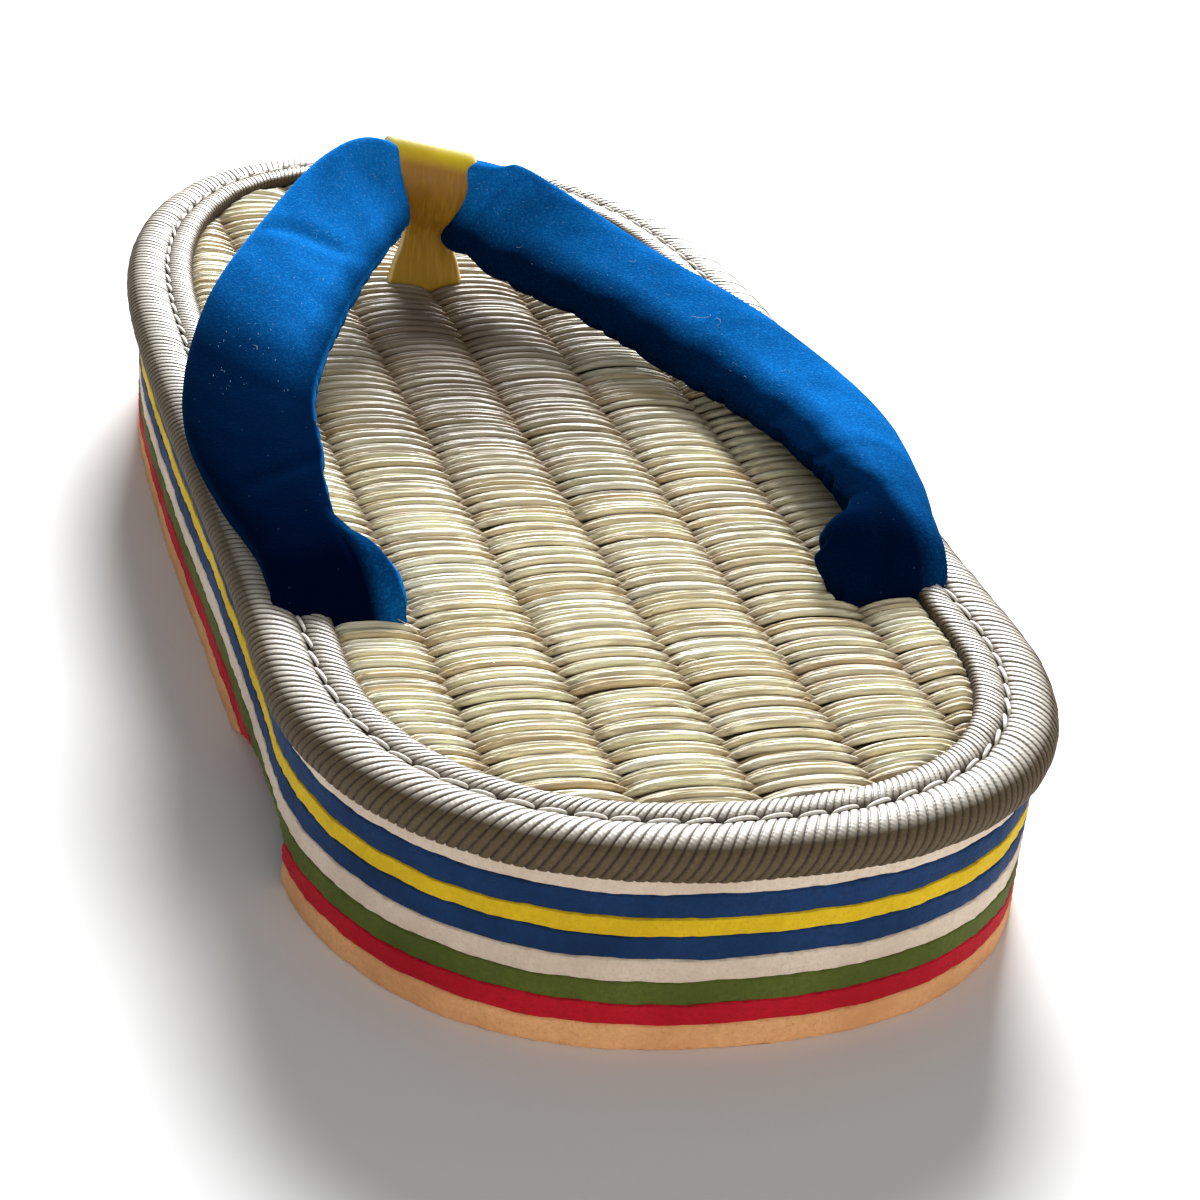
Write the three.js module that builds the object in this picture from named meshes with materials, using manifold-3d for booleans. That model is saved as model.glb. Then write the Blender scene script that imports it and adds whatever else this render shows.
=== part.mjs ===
// A zori sandal: a striped foam sole cut by an arch, a woven rush mat with a taped edge,
// and two velvet straps held at the front by a satin loop.
// Millimetres. +X is the wearer's right, +Y points to the toe, +Z is up. The origin lies on the
// floor under the middle of the sole.
import * as THREE from "three";
import { mergeVertices } from "three/addons/utils/BufferGeometryUtils.js";
import Module from "manifold-3d";

const wasm = await Module();
wasm.setup();

// Overall outline, measured over the taped edge
const length = 246;
const ballWidth = 105;
const heelWidth = 98.5;
const heelRun = 51;
const heelSquareness = 2.31;
const toeRun = 86;
const toeSquareness = 2.42;

// Foam sole: sheet thicknesses from the floor up
const peachThickness = 3.4;
const redThickness = 2.9;
const greenThickness = 3.0;
const whiteThickness = 3.0;
const lowerBlueThickness = 3.1;
const yellowThickness = 2.4;
const upperBlueThickness = 3.1;
const topWhiteThickness = 2.6;
const foamInset = 1.8;

// Arch hollowed across the sole in front of the heel, and the share of its length where the lower
// sheets are parted
const heelBreast = 41.5;
const archLength = 38.5;
const archHeight = 8.5;
const archParting = 0.3;

// Rush mat, with its slant in millimetres across for each one along
const matEdgeThickness = 2.3;
const columnPitch = 14.6;
const seamOffset = -0.8;
const seamHeight = 2.6;
const columnRise = 0.8;
const columnSlant = -0.03;

// Folded tape round the rim
const tapeWidth = 9.7;
const tapeThickness = 1.2;
const tapeRise = 1.6;
const tapeLip = 0.5;
const lapPastAnchor = 36;
const lapLength = 11;
const lapThickness = 0.7;
const lapStep = 0.35;

// Velvet straps. The left one meets the loop higher than the right one by twice the lean.
const anchorFromHeel = 63;
const anchorSpread = 36;
const anchorAcross = 0.5;
const loopFromHeel = 179;
const loopAcross = -3.1;
const strapRise = 16.4;
const strapWidth = 20.2;
const strapThickness = 6;
const frontLean = 3.2;
const strapSquareness = 2.6;
const bridgeAbove = 17.2;
const bridgeHeight = 9.5;
const bridgeThickness = 5.6;
const bridgeBow = 1.3;

// Satin toe loop, with its slope in millimetres down for each one to the right
const ribbonThickness = 1.1;
const loopWidth = 15;
const loopSlope = 0.3;
const loopRoundness = 0.8;
const postWidth = 12;
const postThickness = 3.2;
const postLap = 0.4;

// Clearances between curved neighbours
const gap = 0.3;
const slotClearance = 0.35;

// Heights that follow from the sizes above
const foamHeight = peachThickness + redThickness + greenThickness + whiteThickness
  + lowerBlueThickness + yellowThickness + upperBlueThickness + topWhiteThickness;
const underTape = foamHeight + matEdgeThickness;
const tapeCrest = underTape + tapeRise;
const matTop = foamHeight + seamHeight + columnRise;
const heelY = -length / 2;

// Curves are drawn with these numbers of steps
const rimSteps = 84;
const denseSteps = 90;
const columnSteps = 6;
const strapSteps = 72;
const sectionSteps = 14;
const loopSteps = 16;
const postSteps = 5;

// Solids

// A closed three.js geometry as a manifold solid.
function toSolid(geometry) {
  const bare = geometry.clone();
  bare.deleteAttribute("normal");
  bare.deleteAttribute("uv");
  const merged = mergeVertices(bare, 1e-4);
  return new wasm.Manifold(new wasm.Mesh({
    numProp: 3,
    vertProperties: new Float32Array(merged.attributes.position.array),
    triVerts: new Uint32Array(merged.index.array),
  }));
}

function toGeometry(solid) {
  const mesh = solid.getMesh();
  const geometry = new THREE.BufferGeometry();
  geometry.setAttribute("position", new THREE.BufferAttribute(new Float32Array(mesh.vertProperties), 3));
  geometry.setIndex(new THREE.BufferAttribute(new Uint32Array(mesh.triVerts), 1));
  return geometry;
}

// A solid through rings of points, each ring turning the same way, with capped or joined ends.
function skin(rings, closed) {
  const count = rings[0].length;
  const positions = [];
  const index = [];
  for (const ring of rings) {
    for (const point of ring) positions.push(point.x, point.y, point.z);
  }
  const spans = closed ? rings.length : rings.length - 1;
  for (let r = 0; r < spans; r++) {
    const here = r * count;
    const next = ((r + 1) % rings.length) * count;
    for (let k = 0; k < count; k++) {
      const l = (k + 1) % count;
      index.push(here + k, here + l, next + k, here + l, next + l, next + k);
    }
  }
  if (!closed) {
    for (const [ring, flip] of [[0, false], [rings.length - 1, true]]) {
      const middle = new THREE.Vector3();
      for (const point of rings[ring]) middle.add(point);
      middle.divideScalar(count);
      positions.push(middle.x, middle.y, middle.z);
      const hub = positions.length / 3 - 1;
      for (let k = 0; k < count; k++) {
        const a = ring * count + k;
        const b = ring * count + (k + 1) % count;
        if (flip) index.push(hub, a, b);
        else index.push(hub, b, a);
      }
    }
  }
  const geometry = new THREE.BufferGeometry();
  geometry.setAttribute("position", new THREE.Float32BufferAttribute(positions, 3));
  geometry.setIndex(index);
  const solid = toSolid(geometry);
  if (solid.volume() > 0) return solid;
  for (let i = 0; i < index.length; i += 3) [index[i + 1], index[i + 2]] = [index[i + 2], index[i + 1]];
  geometry.setIndex(index);
  return toSolid(geometry);
}

// Outline of the sandal

// Half the width at a distance from the heel: a squared ellipse at each end and a soft flare between.
function halfOutline() {
  const points = [];
  const heelHalf = heelWidth / 2;
  const ballHalf = ballWidth / 2;
  const straight = length - heelRun - toeRun;
  for (let i = 0; i <= denseSteps; i++) {
    const turn = (i / denseSteps) * Math.PI / 2;
    const x = heelHalf * Math.sin(turn) ** (2 / heelSquareness);
    const y = heelRun * (1 - Math.max(0, Math.cos(turn)) ** (2 / heelSquareness));
    points.push(new THREE.Vector2(x, heelY + y));
  }
  for (let i = 1; i < denseSteps; i++) {
    const share = i / denseSteps;
    const flare = (1 - Math.cos(share * Math.PI)) / 2;
    const x = heelHalf + (ballHalf - heelHalf) * flare;
    points.push(new THREE.Vector2(x, heelY + heelRun + straight * share));
  }
  for (let i = denseSteps; i >= 0; i--) {
    const turn = (i / denseSteps) * Math.PI / 2;
    const x = ballHalf * Math.sin(turn) ** (2 / toeSquareness);
    const y = toeRun * (1 - Math.max(0, Math.cos(turn)) ** (2 / toeSquareness));
    points.push(new THREE.Vector2(x, heelY + length - y));
  }
  return points;
}

// The whole rim, anticlockwise from the middle of the heel, with its distance along it.
function wholeRim() {
  const right = halfOutline();
  const left = right.slice(1, -1).reverse().map((p) => new THREE.Vector2(-p.x, p.y));
  const points = [...right, ...left];
  const along = [0];
  for (let i = 1; i <= points.length; i++) {
    along.push(along[i - 1] + points[i - 1].distanceTo(points[i % points.length]));
  }
  return { points, along, total: along[points.length] };
}

const rim = wholeRim();

// Place and outward direction at a distance along the rim.
function rimAt(distance) {
  const wrapped = ((distance % rim.total) + rim.total) % rim.total;
  let i = 0;
  while (rim.along[i + 1] <= wrapped) i++;
  const count = rim.points.length;
  const share = (wrapped - rim.along[i]) / (rim.along[i + 1] - rim.along[i]);
  const tangentAt = (k) => {
    const before = rim.points[(k + count - 1) % count];
    return rim.points[(k + 1) % count].clone().sub(before).normalize();
  };
  const tangent = tangentAt(i).lerp(tangentAt((i + 1) % count), share).normalize();
  const point = rim.points[i].clone().lerp(rim.points[(i + 1) % count], share);
  return { point, outward: new THREE.Vector2(tangent.y, -tangent.x) };
}

function rimInset(distance, inset) {
  const { point, outward } = rimAt(distance);
  return point.addScaledVector(outward, -inset);
}

function evenStops() {
  return Array.from({ length: rimSteps }, (_, i) => (i / rimSteps) * rim.total);
}

// A flat slab with the sandal's outline, drawn in by an inset.
function outlineSlab(inset, bottom, top) {
  const shape = new THREE.Shape(evenStops().map((stop) => rimInset(stop, inset)));
  const depth = top - bottom;
  const slab = new THREE.ExtrudeGeometry(shape, { depth, bevelEnabled: false, curveSegments: 1 });
  return toSolid(slab.translate(0, 0, bottom));
}

// A prism across the sandal from a side profile of points along Y and Z.
function crossPrism(profile) {
  const shape = new THREE.Shape(profile.map(([y, z]) => new THREE.Vector2(y, z)));
  const prism = new THREE.ExtrudeGeometry(shape, { depth: 2 * ballWidth, bevelEnabled: false });
  prism.rotateX(Math.PI / 2).rotateZ(Math.PI / 2).translate(-ballWidth, 0, 0);
  return toSolid(prism);
}

// Foam sole

// Arch profile from the heel breast forward, as shares of the arch's length and height.
const archProfile = [
  { ahead: 0, rise: 0 },
  { ahead: 0.01, rise: 0.8 },
  { ahead: 0.05, rise: 0.97 },
  { ahead: 0.15, rise: 1 },
  { ahead: 0.31, rise: 0.95 },
  { ahead: 0.47, rise: 0.86 },
  { ahead: 0.6, rise: 0.73 },
  { ahead: 0.72, rise: 0.56 },
  { ahead: 0.86, rise: 0.3 },
  { ahead: 1, rise: 0 },
];

function archTunnel() {
  const back = heelY + heelBreast;
  const front = back + archLength;
  const curve = archProfile.map(({ ahead, rise }) => [back + ahead * archLength, rise * archHeight]);
  return crossPrism([[back, -ballWidth], ...curve, [front, -ballWidth]]);
}

const parting = heelY + heelBreast + archLength * archParting;
const aheadOfArch = [[parting, -1], [length, -1], [length, foamHeight], [parting, foamHeight]];
const behindArch = [[-length, -1], [parting, -1], [parting, foamHeight], [-length, foamHeight]];

let sheetBottom = 0;
const sheets = {};
for (const [name, thickness] of [
  ["peach", peachThickness],
  ["red", redThickness],
  ["green", greenThickness],
  ["white", whiteThickness],
  ["lowerBlue", lowerBlueThickness],
  ["yellow", yellowThickness],
  ["upperBlue", upperBlueThickness],
  ["topWhite", topWhiteThickness],
]) {
  sheets[name] = { bottom: sheetBottom, top: sheetBottom + thickness };
  sheetBottom += thickness;
}

const tunnel = archTunnel();

function wholeSheet(name) {
  const { bottom, top } = sheets[name];
  const slab = outlineSlab(foamInset, bottom, top);
  return bottom < archHeight ? slab.subtract(tunnel) : slab;
}

function heelSheet(name) {
  return wholeSheet(name).subtract(crossPrism(aheadOfArch));
}

function forefootSheet(name) {
  return wholeSheet(name).subtract(crossPrism(behindArch));
}

// Rush mat

// Raised columns run almost along the sandal. Each is a low arch between two seams.
function matColumns() {
  const columns = Math.ceil(ballWidth / columnPitch) + 2;
  const first = -Math.floor(columns / 2);
  const reach = first * columnPitch + seamOffset;
  const top = [];
  for (let column = 0; column < columns; column++) {
    for (let k = 0; k < columnSteps; k++) {
      const share = k / columnSteps;
      const rise = columnRise * Math.sqrt(Math.sin(share * Math.PI));
      top.push(new THREE.Vector2(reach + (column + share) * columnPitch, foamHeight + seamHeight + rise));
    }
  }
  const far = reach + columns * columnPitch;
  top.push(new THREE.Vector2(far, foamHeight + seamHeight));
  const low = foamHeight + matEdgeThickness / 2;
  const bottom = [new THREE.Vector2(reach, low), new THREE.Vector2(far, low)];
  const shape = new THREE.Shape([...bottom, ...top.reverse()]);
  const bar = new THREE.ExtrudeGeometry(shape, { depth: length, bevelEnabled: false });
  bar.rotateX(Math.PI / 2).translate(0, length / 2, 0);
  const place = bar.attributes.position;
  for (let i = 0; i < place.count; i++) place.setX(i, place.getX(i) + columnSlant * place.getY(i));
  return toSolid(bar);
}

function rushMat() {
  const edge = outlineSlab(tapeThickness + gap, foamHeight, underTape);
  const field = matColumns().intersect(outlineSlab(tapeWidth + gap, foamHeight, matTop + columnRise));
  const slots = strapSolid(slotClearance).intersect(outlineSlab(tapeWidth, 0, matTop + strapRise));
  return edge.add(field).subtract(slots).subtract(postSolid(slotClearance));
}

// Edge binding

// Tape section: distance in from the rim as a share of the tape's width, and height as a share of
// its rise over the mat's edge, from the lip round the outside to the inner edge.
const tapeSection = [
  { inward: 0.155, rise: -1.75 },
  { inward: 0.075, rise: -1.72 },
  { inward: 0.02, rise: -1.35 },
  { inward: 0, rise: -0.75 },
  { inward: 0.03, rise: -0.02 },
  { inward: 0.12, rise: 0.62 },
  { inward: 0.28, rise: 0.97 },
  { inward: 0.46, rise: 1 },
  { inward: 0.59, rise: 0.82 },
  { inward: 0.65, rise: 0.62 },
  { inward: 0.71, rise: 0.77 },
  { inward: 0.9, rise: 0.72 },
  { inward: 0.98, rise: 0.58 },
  { inward: 1, rise: 0.3 },
];

// The middle of the fold, as a share of the tape's width, from which a lap grows outward.
const foldMiddle = 0.4;

// How many rows of the section make the lip under the fold, which stays level with the foam.
const lipRows = 2;

function tapeRing(stop, extra) {
  const outer = tapeSection.map(({ inward, rise }, i) => {
    const lip = i < lipRows;
    const height = lip ? foamHeight - tapeLip : underTape + rise * tapeRise;
    return { inset: inward * tapeWidth, height, lip };
  });
  const middle = { inset: tapeWidth * foldMiddle, height: foamHeight };
  const raised = outer.map(({ inset, height, lip }) => {
    if (lip || extra === 0) return { inset, height };
    const away = new THREE.Vector2(middle.inset - inset, height - middle.height).normalize();
    return { inset: Math.min(tapeWidth, inset - away.x * extra / 2), height: height + away.y * extra };
  });
  const inner = [
    { inset: tapeWidth, height: underTape },
    { inset: tapeThickness, height: underTape },
    { inset: tapeThickness, height: foamHeight },
  ];
  return [...raised, ...inner].map(({ inset, height }) => {
    const p = rimInset(stop, inset);
    return new THREE.Vector3(p.x, p.y, height);
  });
}

function edgeBinding() {
  const lapY = heelY + anchorFromHeel + lapPastAnchor;
  const start = rim.along[rim.points.findIndex((p) => p.y > lapY)];
  const end = start + lapLength;
  const marked = evenStops()
    .filter((stop) => stop < start - 2 * lapStep || stop > end + 2 * lapStep)
    .map((stop) => ({ stop, extra: 0 }));
  marked.push({ stop: start - lapStep, extra: 0 });
  marked.push({ stop: start, extra: lapThickness });
  marked.push({ stop: (start + end) / 2, extra: lapThickness });
  marked.push({ stop: end, extra: lapThickness });
  marked.push({ stop: end + lapStep, extra: 0 });
  marked.sort((a, b) => a.stop - b.stop);
  return skin(marked.map(({ stop, extra }) => tapeRing(stop, extra)), true);
}

// Velvet straps

// One strap from its anchor to the loop. Out is a share of the anchors' spread, ahead a share of the
// way from anchor to loop, rise a share of the strap's rise, width and thick shares of the strap's
// own, and tilt the turn of its face in degrees.
const strapStations = [
  { out: 1.0, ahead: -0.02, rise: -0.35, width: 0.66, thick: 1.15, tilt: -16 },
  { out: 1.01, ahead: -0.008, rise: 0.0, width: 0.69, thick: 1.15, tilt: -16 },
  { out: 1.03, ahead: 0.02, rise: 0.21, width: 0.72, thick: 1.1, tilt: -16 },
  { out: 1.08, ahead: 0.08, rise: 0.31, width: 0.75, thick: 0.95, tilt: -15 },
  { out: 1.15, ahead: 0.19, rise: 0.34, width: 0.8, thick: 0.9, tilt: -12 },
  { out: 1.16, ahead: 0.37, rise: 0.39, width: 0.9, thick: 0.9, tilt: 0 },
  { out: 0.98, ahead: 0.58, rise: 0.51, width: 0.96, thick: 0.95, tilt: 11 },
  { out: 0.65, ahead: 0.79, rise: 0.71, width: 0.92, thick: 0.95, tilt: 20 },
  { out: 0.36, ahead: 0.925, rise: 0.9, width: 0.86, thick: 0.95, tilt: 42 },
  { out: 0.255, ahead: 0.963, rise: 0.95, width: 0.74, thick: 0.95, tilt: 62 },
];

// The strap between the two sides, pinched inside the loop.
const bridgeStations = [
  { across: -0.46, back: 1, tilt: 84 },
  { across: 0, back: 0, tilt: 90 },
  { across: 0.46, back: 1, tilt: 84 },
];

function strapPath() {
  const anchorY = heelY + anchorFromHeel;
  const run = loopFromHeel - anchorFromHeel;
  const side = (sign) => strapStations.map((row) => {
    const near = Math.max(0, row.ahead);
    return {
      place: new THREE.Vector3(
        sign * row.out * anchorSpread + THREE.MathUtils.lerp(anchorAcross, loopAcross, near),
        anchorY + row.ahead * run,
        matTop + row.rise * strapRise - sign * near * frontLean,
      ),
      width: row.width * strapWidth,
      thick: row.thick * strapThickness,
      tilt: row.tilt,
    };
  });
  const bridge = bridgeStations.map((row) => ({
    place: new THREE.Vector3(
      loopAcross + row.across * loopWidth,
      heelY + loopFromHeel - row.back * bridgeBow,
      loopMiddle(row.across * loopWidth),
    ),
    width: bridgeHeight,
    thick: bridgeThickness,
    tilt: row.tilt,
  }));
  return [...side(-1), ...bridge, ...side(1).reverse()];
}

function between(values, at) {
  const i = Math.min(values.length - 2, Math.floor(at));
  return THREE.MathUtils.lerp(values[i], values[i + 1], at - i);
}

// Sections along the strap, each a flattened round, grown by a clearance on every side.
function strapSolid(clearance) {
  const path = strapPath();
  const curve = new THREE.CatmullRomCurve3(path.map((row) => row.place), false, "centripetal");
  const last = path.length - 1;
  const rings = [];
  for (let i = 0; i <= strapSteps; i++) {
    const share = i / strapSteps;
    const at = share * last;
    const centre = curve.getPoint(share);
    const travel = curve.getTangent(share);
    const inward = new THREE.Vector3(travel.y, -travel.x, 0).normalize();
    const upward = new THREE.Vector3().crossVectors(inward, travel).normalize();
    const tilt = THREE.MathUtils.degToRad(between(path.map((row) => row.tilt), at));
    const wide = inward.clone().multiplyScalar(Math.cos(tilt)).addScaledVector(upward, -Math.sin(tilt));
    const deep = new THREE.Vector3().crossVectors(wide, travel).normalize();
    const halfWidth = between(path.map((row) => row.width), at) / 2 + clearance;
    const halfThick = between(path.map((row) => row.thick), at) / 2 + clearance;
    const ring = [];
    for (let k = 0; k < sectionSteps; k++) {
      const angle = (k / sectionSteps) * 2 * Math.PI;
      const c = Math.cos(angle);
      const s = Math.sin(angle);
      const x = halfWidth * Math.sign(c) * Math.abs(c) ** (2 / strapSquareness);
      const y = halfThick * Math.sign(s) * Math.abs(s) ** (2 / strapSquareness);
      ring.push(centre.clone().addScaledVector(wide, x).addScaledVector(deep, y));
    }
    rings.push(ring);
  }
  return skin(rings, false);
}

// The strap with its ends cut off level where they meet the foam in the mat's slots, and pressed
// flat where they lie on the tape.
function strapUpper() {
  const overTape = tapeCrest + gap;
  const tapeRoom = outlineSlab(-gap, 0, overTape).subtract(outlineSlab(tapeWidth + gap, 0, overTape));
  return strapSolid(0).subtract(outlineSlab(0, 0, foamHeight + gap)).subtract(tapeRoom);
}

// Toe loop

// Height of the middle of the loop's eye at a distance to the right of the loop's own middle.
function loopMiddle(across) {
  return matTop + bridgeAbove - across * loopSlope;
}

// The eye seen from the side, round the strap inside it.
function loopOutline(grow) {
  const halfDepth = bridgeThickness / 2 + gap + grow;
  const halfHeight = bridgeHeight / 2 + gap + grow;
  const points = [];
  for (let k = 0; k < loopSteps; k++) {
    const angle = (k / loopSteps) * 2 * Math.PI;
    const c = Math.cos(angle);
    const s = Math.sin(angle);
    points.push(new THREE.Vector2(
      halfDepth * Math.sign(c) * Math.abs(c) ** loopRoundness,
      halfHeight * Math.sign(s) * Math.abs(s) ** loopRoundness,
    ));
  }
  return points;
}

// The stem down between the toes, ending on the foam under the mat.
function postSolid(clearance) {
  const foot = foamHeight + gap - clearance;
  const shape = new THREE.Shape();
  const half = postWidth / 2 + clearance;
  const deep = postThickness / 2 + clearance;
  shape.moveTo(-half + deep, -deep);
  shape.lineTo(half - deep, -deep);
  shape.absarc(half - deep, 0, deep, -Math.PI / 2, Math.PI / 2, false);
  shape.lineTo(-half + deep, deep);
  shape.absarc(-half + deep, 0, deep, Math.PI / 2, Math.PI * 1.5, false);
  const depth = loopMiddle(0) - bridgeHeight / 2 - gap - postLap - foot;
  const post = new THREE.ExtrudeGeometry(shape, { depth, bevelEnabled: false, curveSegments: postSteps });
  return toSolid(post.translate(loopAcross, heelY + loopFromHeel, foot));
}

function toeLoop() {
  const shape = new THREE.Shape(loopOutline(ribbonThickness));
  shape.holes.push(new THREE.Path(loopOutline(0).reverse()));
  const eye = new THREE.ExtrudeGeometry(shape, { depth: loopWidth, steps: 2, bevelEnabled: false });
  eye.rotateX(Math.PI / 2).rotateZ(Math.PI / 2).translate(-loopWidth / 2, 0, 0);
  const place = eye.attributes.position;
  const halfHeight = bridgeHeight / 2 + gap + ribbonThickness;
  for (let i = 0; i < place.count; i++) {
    const drop = Math.max(0, (halfHeight - place.getZ(i)) / (2 * halfHeight));
    const narrow = THREE.MathUtils.lerp(1, postWidth / loopWidth, drop ** 2);
    const x = place.getX(i) * narrow;
    place.setXYZ(i, x + loopAcross, place.getY(i) + heelY + loopFromHeel, place.getZ(i) + loopMiddle(x));
  }
  return toSolid(eye).add(postSolid(0)).subtract(strapSolid(gap)).subtract(strapSolid(0));
}

// Materials

function finish(color, roughness, metalness = 0) {
  return new THREE.MeshStandardMaterial({ color, roughness, metalness });
}

const peachFoam = finish(0xe1a56e, 0.85);
const redFoam = finish(0xb80f28, 0.8);
const greenFoam = finish(0x556928, 0.8);
const whiteFoam = finish(0xe1cdc8, 0.8);
const blueFoam = finish(0x143c7d, 0.8);
const yellowFoam = finish(0xd7b414, 0.8);
const rush = finish(0xc9b078, 0.6);
const ribbedTape = finish(0x8e8368, 0.45);
const velvet = finish(0x0b3f9e, 0.9);
const satin = finish(0xd8ab14, 0.5);

const sandal = new THREE.Group();

function addPiece(name, solid, material) {
  const mesh = new THREE.Mesh(toGeometry(solid), material);
  mesh.name = name;
  sandal.add(mesh);
}

addPiece("outsole_heel", heelSheet("peach"), peachFoam);
addPiece("outsole_forefoot", forefootSheet("peach"), peachFoam);
addPiece("red_layer_heel", heelSheet("red"), redFoam);
addPiece("red_layer_forefoot", forefootSheet("red"), redFoam);
addPiece("green_layer", wholeSheet("green"), greenFoam);
addPiece("white_layer", wholeSheet("white"), whiteFoam);
addPiece("lower_blue_layer", wholeSheet("lowerBlue"), blueFoam);
addPiece("yellow_layer", wholeSheet("yellow"), yellowFoam);
addPiece("upper_blue_layer", wholeSheet("upperBlue"), blueFoam);
addPiece("top_white_layer", wholeSheet("topWhite"), whiteFoam);
addPiece("rush_mat", rushMat(), rush);
addPiece("edge_binding", edgeBinding(), ribbedTape);
addPiece("strap_upper", strapUpper(), velvet);
addPiece("toe_loop", toeLoop(), satin);

export default sandal;
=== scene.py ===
"""Looks of one zori sandal: foam sheets, rush stems, ribbed tape, velvet straps and a satin loop."""

import math

import bmesh
import bpy
import numpy as np
from mathutils import Matrix, Vector


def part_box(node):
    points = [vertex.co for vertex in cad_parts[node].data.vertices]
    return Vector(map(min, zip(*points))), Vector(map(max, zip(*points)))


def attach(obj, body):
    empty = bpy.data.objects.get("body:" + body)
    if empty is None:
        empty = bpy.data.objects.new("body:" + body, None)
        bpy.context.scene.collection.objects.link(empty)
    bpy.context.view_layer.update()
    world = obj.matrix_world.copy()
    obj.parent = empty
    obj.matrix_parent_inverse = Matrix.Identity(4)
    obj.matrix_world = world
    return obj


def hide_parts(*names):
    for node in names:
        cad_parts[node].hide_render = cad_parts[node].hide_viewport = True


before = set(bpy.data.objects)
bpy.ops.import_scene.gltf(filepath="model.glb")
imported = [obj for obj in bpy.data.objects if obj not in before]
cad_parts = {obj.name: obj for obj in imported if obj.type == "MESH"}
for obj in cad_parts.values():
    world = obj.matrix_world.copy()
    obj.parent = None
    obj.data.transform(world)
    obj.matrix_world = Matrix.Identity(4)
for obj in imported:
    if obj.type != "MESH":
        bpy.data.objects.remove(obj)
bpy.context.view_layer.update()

mm = 0.001

# Sizes read from the frame
tape_low, tape_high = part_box("edge_binding")
length = tape_high.y - tape_low.y
ball_width = tape_high.x - tape_low.x
foam_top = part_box("top_white_layer")[1].z
mat_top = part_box("rush_mat")[1].z
heel_y = -length / 2

# Outline of the taped edge
heel_width = 98.5 * mm
heel_run = 51 * mm
heel_squareness = 2.31
toe_run = 86 * mm
toe_squareness = 2.42
foam_inset = 1.8 * mm

# Waves of the cut foam: of each sheet, of the knife, and of the joints between sheets
sheet_wave = 0.13 * mm
knife_wave = 0.05 * mm
joint_wave = 0.16 * mm

# Arch under the sole: places and heights from the heel breast forward, as shares of its size
heel_breast = 41.5 * mm
arch_length = 38.5 * mm
arch_height = 8.5 * mm
arch_ahead = np.array([0, 0.01, 0.05, 0.15, 0.31, 0.47, 0.6, 0.72, 0.86, 1])
arch_rise = np.array([0, 0.8, 0.97, 1, 0.95, 0.86, 0.73, 0.56, 0.3, 0])

# Rush stems
column_pitch = 14.6 * mm
seam_offset = -0.8 * mm
column_slant = -0.03
column_drop = 1.3 * mm
column_squareness = 2.4
stem_pitch = 2.6 * mm
stem_overlap = 1.7 * mm
stem_foot = 1.75 * mm
ground_height = 1.2 * mm

# Ribbed tape
tape_width = 9.7 * mm
rib_pitch = 1.35 * mm
inner_rib_pitch = 1.15 * mm
rib_height = 0.24 * mm
rib_steps = 8
tape_swell = 0.12 * mm
stitch_pucker = 0.18 * mm
stitch_inset = 6.3 * mm
stitch_pitch = 4.7 * mm
stitch_height = 3.9 * mm
stitch_arc = 0.4 * mm
thread_radius = 0.27 * mm
lap_past_anchor = 36 * mm
lap_length = 11 * mm
lap_thickness = 0.6 * mm
lap_edge = 0.5 * mm

# Velvet straps
anchor_from_heel = 63 * mm
anchor_spread = 36 * mm
anchor_across = 0.5 * mm
loop_from_heel = 179 * mm
loop_across = -3.1 * mm
strap_rise = 16.4 * mm
strap_width = 20.2 * mm
strap_thickness = 6 * mm
front_lean = 3.2 * mm
bridge_above = 17.2 * mm
bridge_height = 9.5 * mm
bridge_thickness = 5.6 * mm
bridge_bow = 1.3 * mm

# Velvet relief: the dome of the top, gathers and ripples at the inner edge, pleats and a tuck at each base,
# and the right strap's corner that hangs back beside the loop
top_dome = 0.35 * mm
gather_pitch = 6.8 * mm
gather_depth = 1.8 * mm
ripple_pitch = 3.7 * mm
ripple_depth = 0.2 * mm
base_pleat = 0.42 * mm
tuck_depth = 0.9 * mm
corner_hang = 1.4 * mm

# Satin loop
loop_width = 15 * mm
loop_slope = 0.21
ribbon_thickness = 1.0 * mm
neck_height = 12.5 * mm
pleat_depth = 0.2 * mm


# Arithmetic

def held(value):
    """A value kept between 0 and 1."""
    return np.clip(value, 0, 1)


def bell(value, middle, half):
    """One at the middle, falling to both sides as a Gaussian curve."""
    return np.exp(-((value - middle) / half) ** 2)


def unit(ways):
    """Directions of length one."""
    return ways / np.linalg.norm(ways, axis=-1, keepdims=True)


def travelled(points):
    """The distance gone at each point of a row."""
    return np.concatenate([[0], np.cumsum(np.linalg.norm(np.diff(points, axis=0), axis=1))])


def full_turn(count):
    """Angles evenly round a circle."""
    return np.linspace(0, 2 * np.pi, count + 1)[:-1]


# Meshes

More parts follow.
